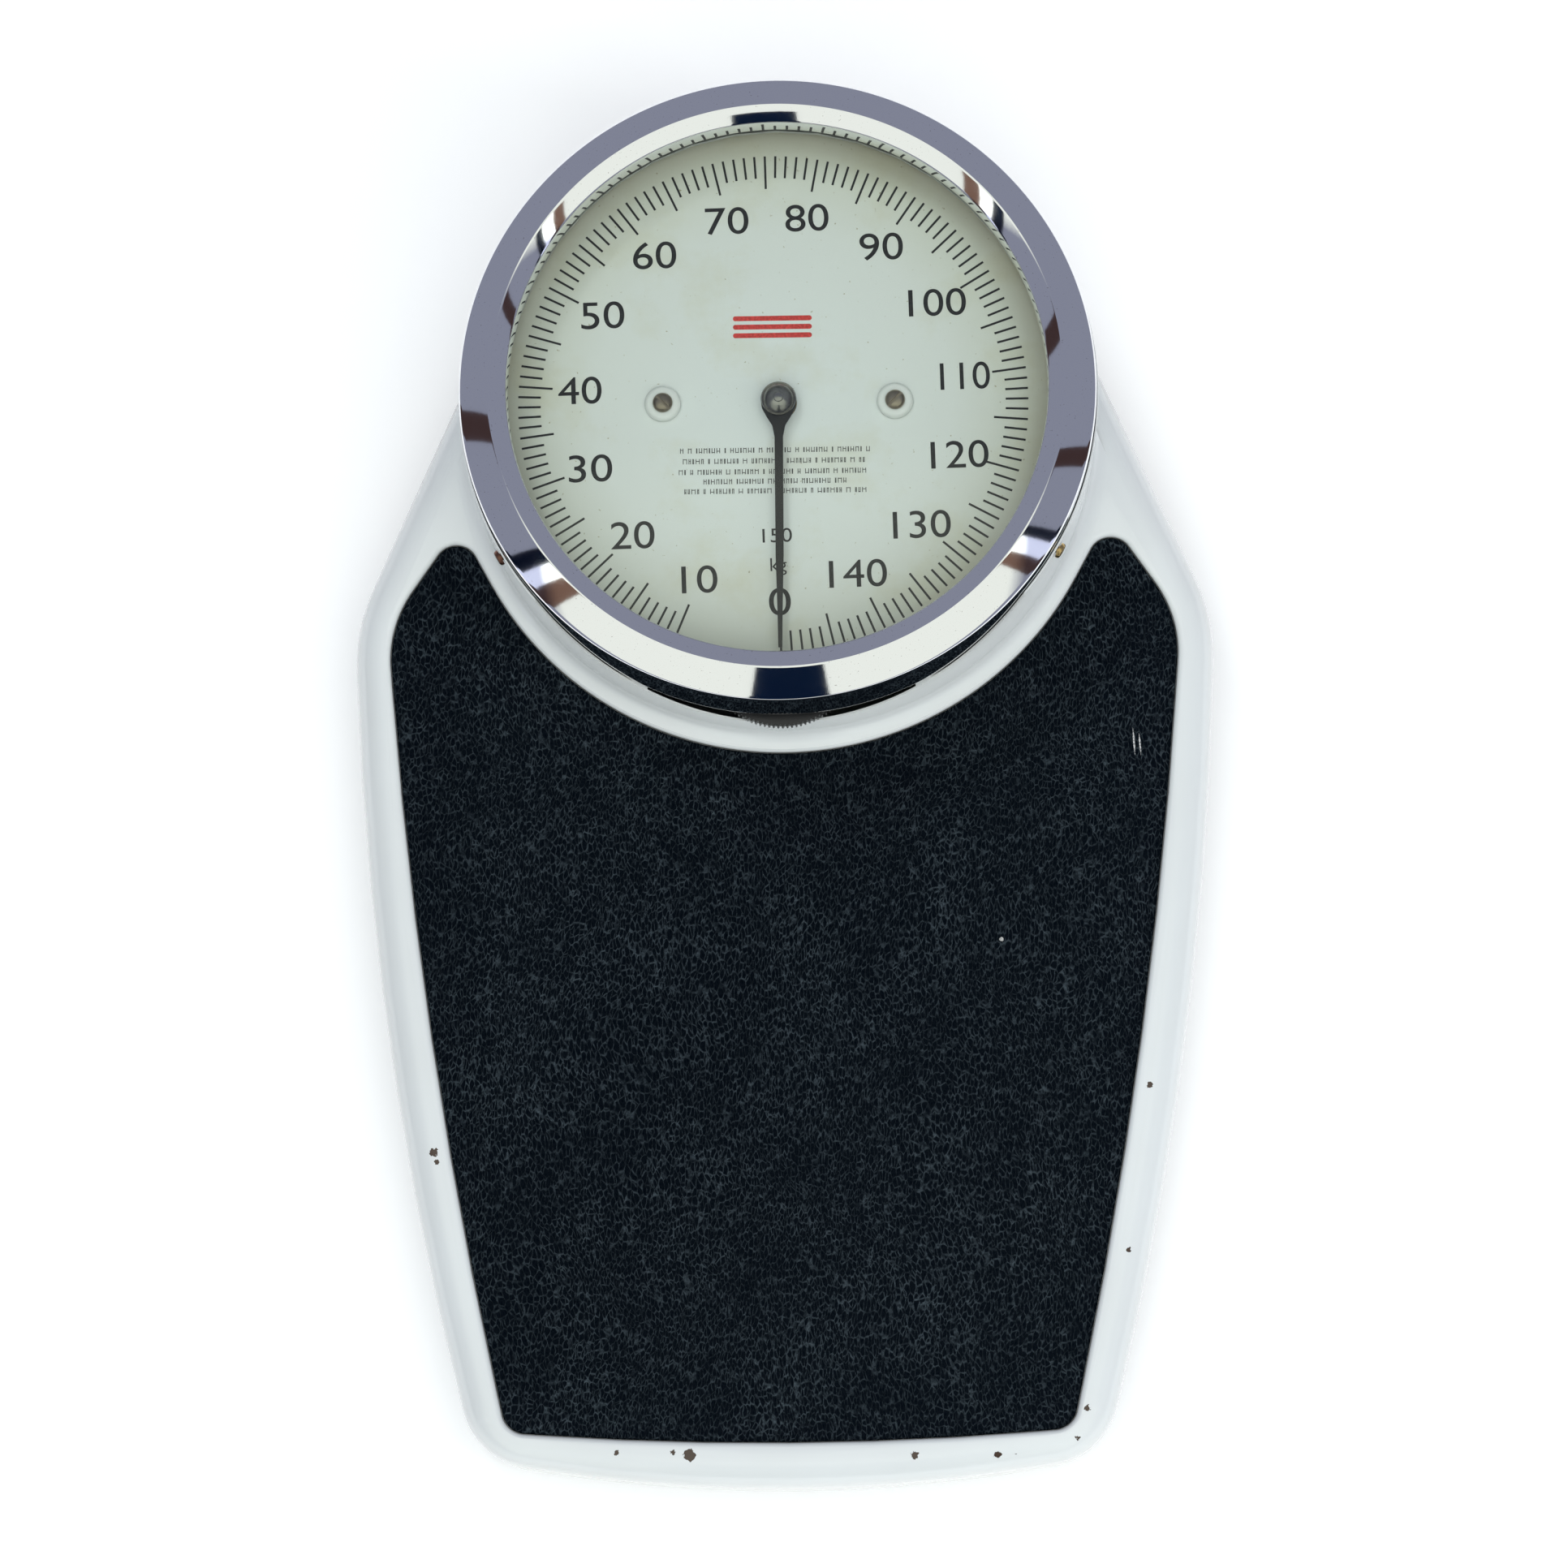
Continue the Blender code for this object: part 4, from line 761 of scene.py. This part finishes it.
def small_print():
    """Rows of short bars where the dial carries its fine print."""
    bm = bmesh.new()
    stroke, half_height = 0.28, 0.95
    rows = ((17.6, 34, 0.4), (21.6, 33, 1.3), (25.6, 34.5, 2.1), (29.2, 25.5, 2.9), (32.8, 32.5, 3.7))
    for drop, half, phase in rows:
        x = -half
        step = 0
        while x < half:
            width = 1.0 + 0.55 * math.sin(step * 2.1 + phase)
            gap = 0.55 + (1.1 if math.sin(step * 0.9 + phase * 3) > 0.75 else 0)
            for a, b in ((x, x + stroke), (x + width - stroke, x + width)):
                add_patch(bm, [(a, -drop - half_height), (b, -drop - half_height),
                               (b, -drop + half_height), (a, -drop + half_height)], PRINT_Z)
            low = 0.75 * math.sin(step * 1.7 + phase) - stroke / 2 - drop
            add_patch(bm, [(x, low), (x + width, low), (x + width, low + stroke), (x, low + stroke)],
                      PRINT_Z + 0.004 * MM)
            x += width + gap
            step += 1
    return mesh_object("dial_small_print", bm, outwards=False)


def red_mark():
    """Plain red emblem above the hub: three rounded strokes."""
    rise, spacing, half, end_r, steps = 28.6, 3.2, 13.5, 0.95, 24
    bm = bmesh.new()
    for row in (spacing, 0.0, -spacing):
        outline = []
        for angle in (math.tau * k / steps - math.pi / 2 for k in range(steps)):
            side = half if math.cos(angle) > 0 else -half
            outline.append((side + end_r * math.cos(angle), rise + row + end_r * math.sin(angle)))
        add_patch(bm, outline, PRINT_Z)
    return mesh_object("dial_emblem", bm, outwards=False)


def dial_plate_shape():
    profile = [(6.5, DIAL_TOP / MM - 1), (6.5, DIAL_TOP / MM), (103.8, DIAL_TOP / MM),
               (104, DIAL_TOP / MM - 0.2), (104, DIAL_TOP / MM - 1)]
    return smooth(turned("dial_face", [(r * MM, z * MM) for r, z in profile]), 40)


def bushing_shape(name, x):
    top = DIAL_TOP / MM
    profile = [(2.1, top + 1.2), (2.1, top + 2.0), (2.6, top + 2.4), (5.2, top + 2.4), (6.1, top + 2.0),
               (6.55, top + 1.2), (6.6, top + 0.3), (3.4, top + 0.3), (3.4, top - 0.9), (2.1, top - 0.9)]
    return smooth(turned(name, [(r * MM, z * MM) for r, z in profile], (x, DIAL_Y), 64), 45)


def dial_screw_shape(name, x, turn):
    """Slotted raised-head screw in a bushing."""
    profile = [(0, 4.4), (1.5, 4.35), (2.6, 4.1), (3.3, 3.6), (3.6, 3.1), (3.6, 2.75),
               (1.7, 2.7), (1.7, -7), (0, -7)]
    screw = turned(name, [(r * MM, z * MM + DIAL_TOP) for r, z in profile], (0, 0), 48, False)
    screw = slotted(screw, 0.45 * MM, DIAL_TOP + 3.5 * MM)
    screw.data.transform(Matrix.Translation((x, DIAL_Y, 0)) @ Matrix.Rotation(turn, 4, "Z"))
    return smooth(screw, 35)


def pointer_shape():
    """Needle with a teardrop hub, its long arm tapering to a fine tip."""
    hub_r = 6.5
    side = [(0.75, -92), (0.9, -80), (1.45, -58), (1.55, -14), (2.4, -9.8), (4.4, -6.6), (6.0, -3.4),
            (hub_r, 0)]
    top = [(hub_r * math.cos(a), hub_r * math.sin(a)) for a in (math.pi * k / 20 for k in range(1, 20))]
    outline = side + top + [(-x, y) for x, y in reversed(side)]
    arm = prism("needle", [(x * MM, DIAL_Y + y * MM) for x, y in outline], 94 * MM, 94.8 * MM)
    hole = turned("hole", [(0, 90 * MM), (1.6 * MM, 90 * MM), (1.6 * MM, 97 * MM), (0, 97 * MM)],
                  steps=32, closed=False)
    arm = boolean(arm, [hole], "DIFFERENCE")
    edge = arm.modifiers.new("edge", "BEVEL")
    edge.width, edge.segments, edge.limit_method = 0.18 * MM, 2, "ANGLE"
    return smooth(baked(arm), 40)


def cap_shape():
    """Domed cap with a raised centre, standing on the needle's hub."""
    z = 95.1
    profile = [(0, z + 3.3), (1.5, z + 3.3), (1.75, z + 3.15), (1.85, z + 2.9), (1.9, z + 2.85)]
    profile += arc((0, z - 3.8), 6.9, 74, 34, 10)
    profile += [(6.15, z + 0.35), (6.3, z), (1.6, z), (1.6, 97.2), (0, 97.2)]
    profile = [(min(r, 6.3), h) for r, h in profile]
    return smooth(turned("pointer_cap", [(r * MM, h * MM) for r, h in profile], steps=64, closed=False), 50)


def wheel_shape():
    """Moulded thumb wheel with a fine toothed edge, a dished top and a hub."""
    teeth = 112
    edge = []
    for k in range(teeth):
        for offset, depth in ((0.0, 0.0), (0.28, 0.0), (0.5, 0.75), (0.78, 0.75)):
            angle = math.tau * (k + offset) / teeth
            radius = WHEEL_R - depth * MM
            edge.append((radius * math.cos(angle), WHEEL_Y + radius * math.sin(angle)))
    wheel = prism("thumb_wheel", edge, WHEEL_BOTTOM, WHEEL_BOTTOM + WHEEL_THICK)
    hub = turned("hub", [(0, 73.3 * MM), (6 * MM, 73.3 * MM), (6 * MM, 77 * MM), (0, 77 * MM)],
                 (0, WHEEL_Y), 48, False)
    dish = turned("dish", [(8 * MM, 79.3 * MM), (24 * MM, 79.3 * MM), (24.8 * MM, 81 * MM),
                           (7.2 * MM, 81 * MM)], (0, WHEEL_Y), 96)
    bore = turned("bore", [(0, 70 * MM), (3.3 * MM, 70 * MM), (3.3 * MM, 90 * MM), (0, 90 * MM)],
                  (0, WHEEL_Y), 32, False)
    wheel = boolean(wheel, [hub], "UNION")
    wheel = boolean(wheel, [dish, bore], "DIFFERENCE")
    return smooth(wheel, 30)


# ---- studio --------------------------------------------------------------------------
def studio():
    """Pale floor, soft lamps and the room that the chrome mirrors."""
    floor = new_object("floor", bpy.data.meshes.new("floor"))
    bm = bmesh.new()
    bmesh.ops.create_grid(bm, x_segments=1, y_segments=1, size=4)
    bm.to_mesh(floor.data)
    bm.free()
    n = Nodes("studio_floor")
    n.set(Base_Color=n.ramp(n.noise(3).outputs["Fac"], [(0.3, 0.90), (0.7, 0.92)]), Roughness=0.9,
          Emission_Color=(1.0, 1.0, 1.0), Emission_Strength=0.22)
    dress(floor, n.material)
    room()

    def area(name, place, size, power, colour):
        light = bpy.data.lights.new(name, "AREA")
        light.shape = "RECTANGLE"
        light.size, light.size_y = size
        light.energy = power
        light.color = colour
        obj = bpy.data.objects.new(name, light)
        obj.location = place
        obj.rotation_euler = (Vector((0, 0, 0.05)) - Vector(place)).to_track_quat("-Z", "Y").to_euler()
        obj.visible_glossy = False
        bpy.context.scene.collection.objects.link(obj)

    area("fill", (0.2, -0.3, 3.0), (3.2, 3.2), 32, (0.99, 0.995, 1.0))
    area("window", (-0.75, 1.15, 2.3), (0.55, 0.30), 7, (0.90, 0.96, 1.0))
    area("side", (2.4, -0.8, 1.6), (0.8, 1.2), 16, (0.96, 0.98, 1.0))
    area("heel", (0.0, -2.4, 1.9), (1.8, 0.8), 15, (0.76, 0.88, 1.0))


def room():
    """Surroundings: pale ceiling and heel side, mauve-grey elsewhere, with dark furniture low down."""
    world = bpy.data.worlds.new("room")
    bpy.context.scene.world = world
    world.use_nodes = True
    tree = world.node_tree
    background = tree.nodes["Background"]

    def node(kind, **settings):
        made = tree.nodes.new(kind)
        for key, value in settings.items():
            setattr(made, key, value)
        return made

    def calc(operation, a, b=0.0):
        made = node("ShaderNodeMath", operation=operation)
        for socket, value in zip(made.inputs, (a, b)):
            if isinstance(value, (int, float)):
                socket.default_value = value
            else:
                tree.links.new(value, socket)
        return made.outputs[0]

    def ramp(value, stops, interpolation="LINEAR"):
        made = node("ShaderNodeValToRGB")
        made.color_ramp.interpolation = interpolation
        while len(made.color_ramp.elements) < len(stops):
            made.color_ramp.elements.new(0.5)
        for element, (position, colour) in zip(made.color_ramp.elements, stops):
            element.position = position
            element.color = (*colour, 1)
        tree.links.new(value, made.inputs["Fac"])
        return made.outputs["Color"]

    def multiplied(factor, a, b):
        made = node("ShaderNodeMix", data_type="RGBA", blend_type="MULTIPLY")
        for socket, value in zip((made.inputs[0], made.inputs[6], made.inputs[7]), (factor, a, b)):
            tree.links.new(value, socket)
        return made.outputs[2]

    split = node("ShaderNodeSeparateXYZ")
    tree.links.new(node("ShaderNodeTexCoord").outputs["Generated"], split.inputs[0])
    x, y, z = split.outputs
    lean = calc("SUBTRACT", calc("MULTIPLY", z, 0.8), calc("MULTIPLY", y, 0.6))
    mauve, pale = (0.245, 0.262, 0.335), (0.93, 0.97, 0.89)
    shell = ramp(lean, [(0.0, mauve), (0.66, mauve), (0.72, pale), (1.0, pale)])
    bearing = calc("ADD", calc("DIVIDE", calc("ARCTAN2", x, calc("MULTIPLY", y, -1.0)), math.tau), 0.5)
    one, navy, brown, bright = (1, 1, 1), (0.003, 0.009, 0.030), (0.20, 0.11, 0.085), (3.0, 3.0, 3.0)
    furniture = ramp(bearing, [
        (0.0, one), (0.215, brown), (0.232, one), (0.300, navy), (0.312, bright), (0.322, brown),
        (0.336, one), (0.474, navy), (0.526, one), (0.672, brown), (0.684, bright), (0.697, navy),
        (0.706, one), (0.745, brown), (0.757, one)], "CONSTANT")
    low = calc("LESS_THAN", z, 0.79)
    tree.links.new(multiplied(low, shell, furniture), background.inputs["Color"])
    background.inputs["Strength"].default_value = 1.0
    bpy.context.scene.view_settings.view_transform = "Standard"


def camera():
    """Camera above the platform, leaning a little towards the heel end and +X."""
    towards = Vector((math.tan(CAMERA_SIDE), -math.tan(CAMERA_TILT), 1)).normalized()
    right = Vector((0, 1, 0)).cross(towards).normalized()
    up = towards.cross(right)
    c, s = math.cos(CAMERA_ROLL), math.sin(CAMERA_ROLL)
    right, up = right * c + up * s, up * c - right * s
    data = bpy.data.cameras.new("camera")
    data.sensor_width = 36
    data.angle = CAMERA_FOV
    obj = bpy.data.objects.new("camera", data)
    obj.matrix_world = Matrix.Translation(CAMERA_AIM + towards * CAMERA_DISTANCE) @ Matrix(
        (right, up, towards)).transposed().to_4x4()
    bpy.context.scene.collection.objects.link(obj)
    bpy.context.scene.camera = obj


# ---- build ---------------------------------------------------------------------------
def dress_cad_nodes(nodes):
    """Every CAD node that still shows gets a procedural finish for its record slot."""
    finishes = {
        "enamel": enamel(), "chrome": chrome("cad_chrome"), "leatherette": leatherette(),
        "rubber": rubber(), "glass": window_glass(),
        "dial_print": dial_paint(),
        "black_paint": paint("black_paint", (0.012, 0.012, 0.013), 0.42, 0.3),
        "black_plastic": paint("black_plastic", (0.016, 0.016, 0.017), 0.33, 0.2),
        "white_plastic": paint("white_plastic", (0.80, 0.83, 0.82), 0.32, 0.06),
        "grey_paint": paint("grey_paint", (0.33, 0.35, 0.36), 0.5, 0.15),
        "zinc": metal("zinc_plate", (0.56, 0.57, 0.60), 0.36),
        "steel": metal("bright_steel", (0.50, 0.50, 0.52), 0.28),
        "brass": metal("turned_brass", (0.66, 0.47, 0.21), 0.27),
    }
    for entry in frame["record"]["subparts"]:
        dress(nodes[entry["node"]], finishes[entry["material_slot"]])
    return finishes


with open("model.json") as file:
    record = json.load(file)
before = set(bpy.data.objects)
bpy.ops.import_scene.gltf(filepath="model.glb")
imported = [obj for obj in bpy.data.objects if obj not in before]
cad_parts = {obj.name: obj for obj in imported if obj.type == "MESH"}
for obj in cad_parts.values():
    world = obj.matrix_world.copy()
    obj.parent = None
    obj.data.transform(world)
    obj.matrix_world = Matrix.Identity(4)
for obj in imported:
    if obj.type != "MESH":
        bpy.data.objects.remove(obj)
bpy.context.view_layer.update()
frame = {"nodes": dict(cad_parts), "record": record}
finishes = dress_cad_nodes(frame["nodes"])

show(casing_shape(), finishes["enamel"], "platform", "enamel", "platform_casing")
show(mat_shape(), finishes["leatherette"], "platform", "leatherette", "tread_mat")
show(scratches(), scratch_paint(), "platform", "leatherette")
show(bezel_shape(), chrome("chrome_plate", 0.12), "platform", "chrome", "bezel")
show(glass_shape(), finishes["glass"], "platform", "glass", "dial_glass")
show(gasket_shape(), finishes["rubber"], "platform", "rubber", "glass_gasket")
# the left rim screw gets a darker brown finish than the other two
darker_screw_finish = metal("darker_brown_screw", (0.22, 0.11, 0.08), 0.38)
for word, degrees in (("top", 90), ("left", 210), ("right", 330)):
    show(screw_shape("rim_screw_" + word, math.radians(degrees)),
         darker_screw_finish if word == "left" else finishes["brass"], "platform", "brass", "bezel_screw_" + word)
old_screw = metal("old_steel", (0.42, 0.36, 0.29), 0.34)
black = ink("black_ink", (0.008, 0.008, 0.009))
show(dial_plate_shape(), finishes["dial_print"], "base", "dial_print", "dial_plate")
show(ticks(), black, "base", "dial_print")
show(numerals(), black, "base", "dial_print")
show(small_print(), ink("grey_ink", (0.055, 0.055, 0.055)), "base", "dial_print")
show(red_mark(), ink("red_ink", (0.50, 0.035, 0.030)), "base", "dial_print")
for word, side in (("left", -1), ("right", 1)):
    show(bushing_shape("collar_" + word, side * FACE_SCREW_X), finishes["white_plastic"],
         "base", "white_plastic", "dial_bushing_" + word)
    show(dial_screw_shape("face_screw_" + word, side * FACE_SCREW_X, 0.8 * side), old_screw,
         "base", "steel", "dial_screw_" + word)
show(pointer_shape(), finishes["black_paint"], "pointer", "black_paint", "pointer")
show(cap_shape(), metal("dark_nickel", (0.42, 0.41, 0.40), 0.22), "pointer", "chrome", "hub_cap")
show(wheel_shape(), finishes["black_plastic"], "zero_wheel", "black_plastic", "zero_wheel")
studio()
camera()
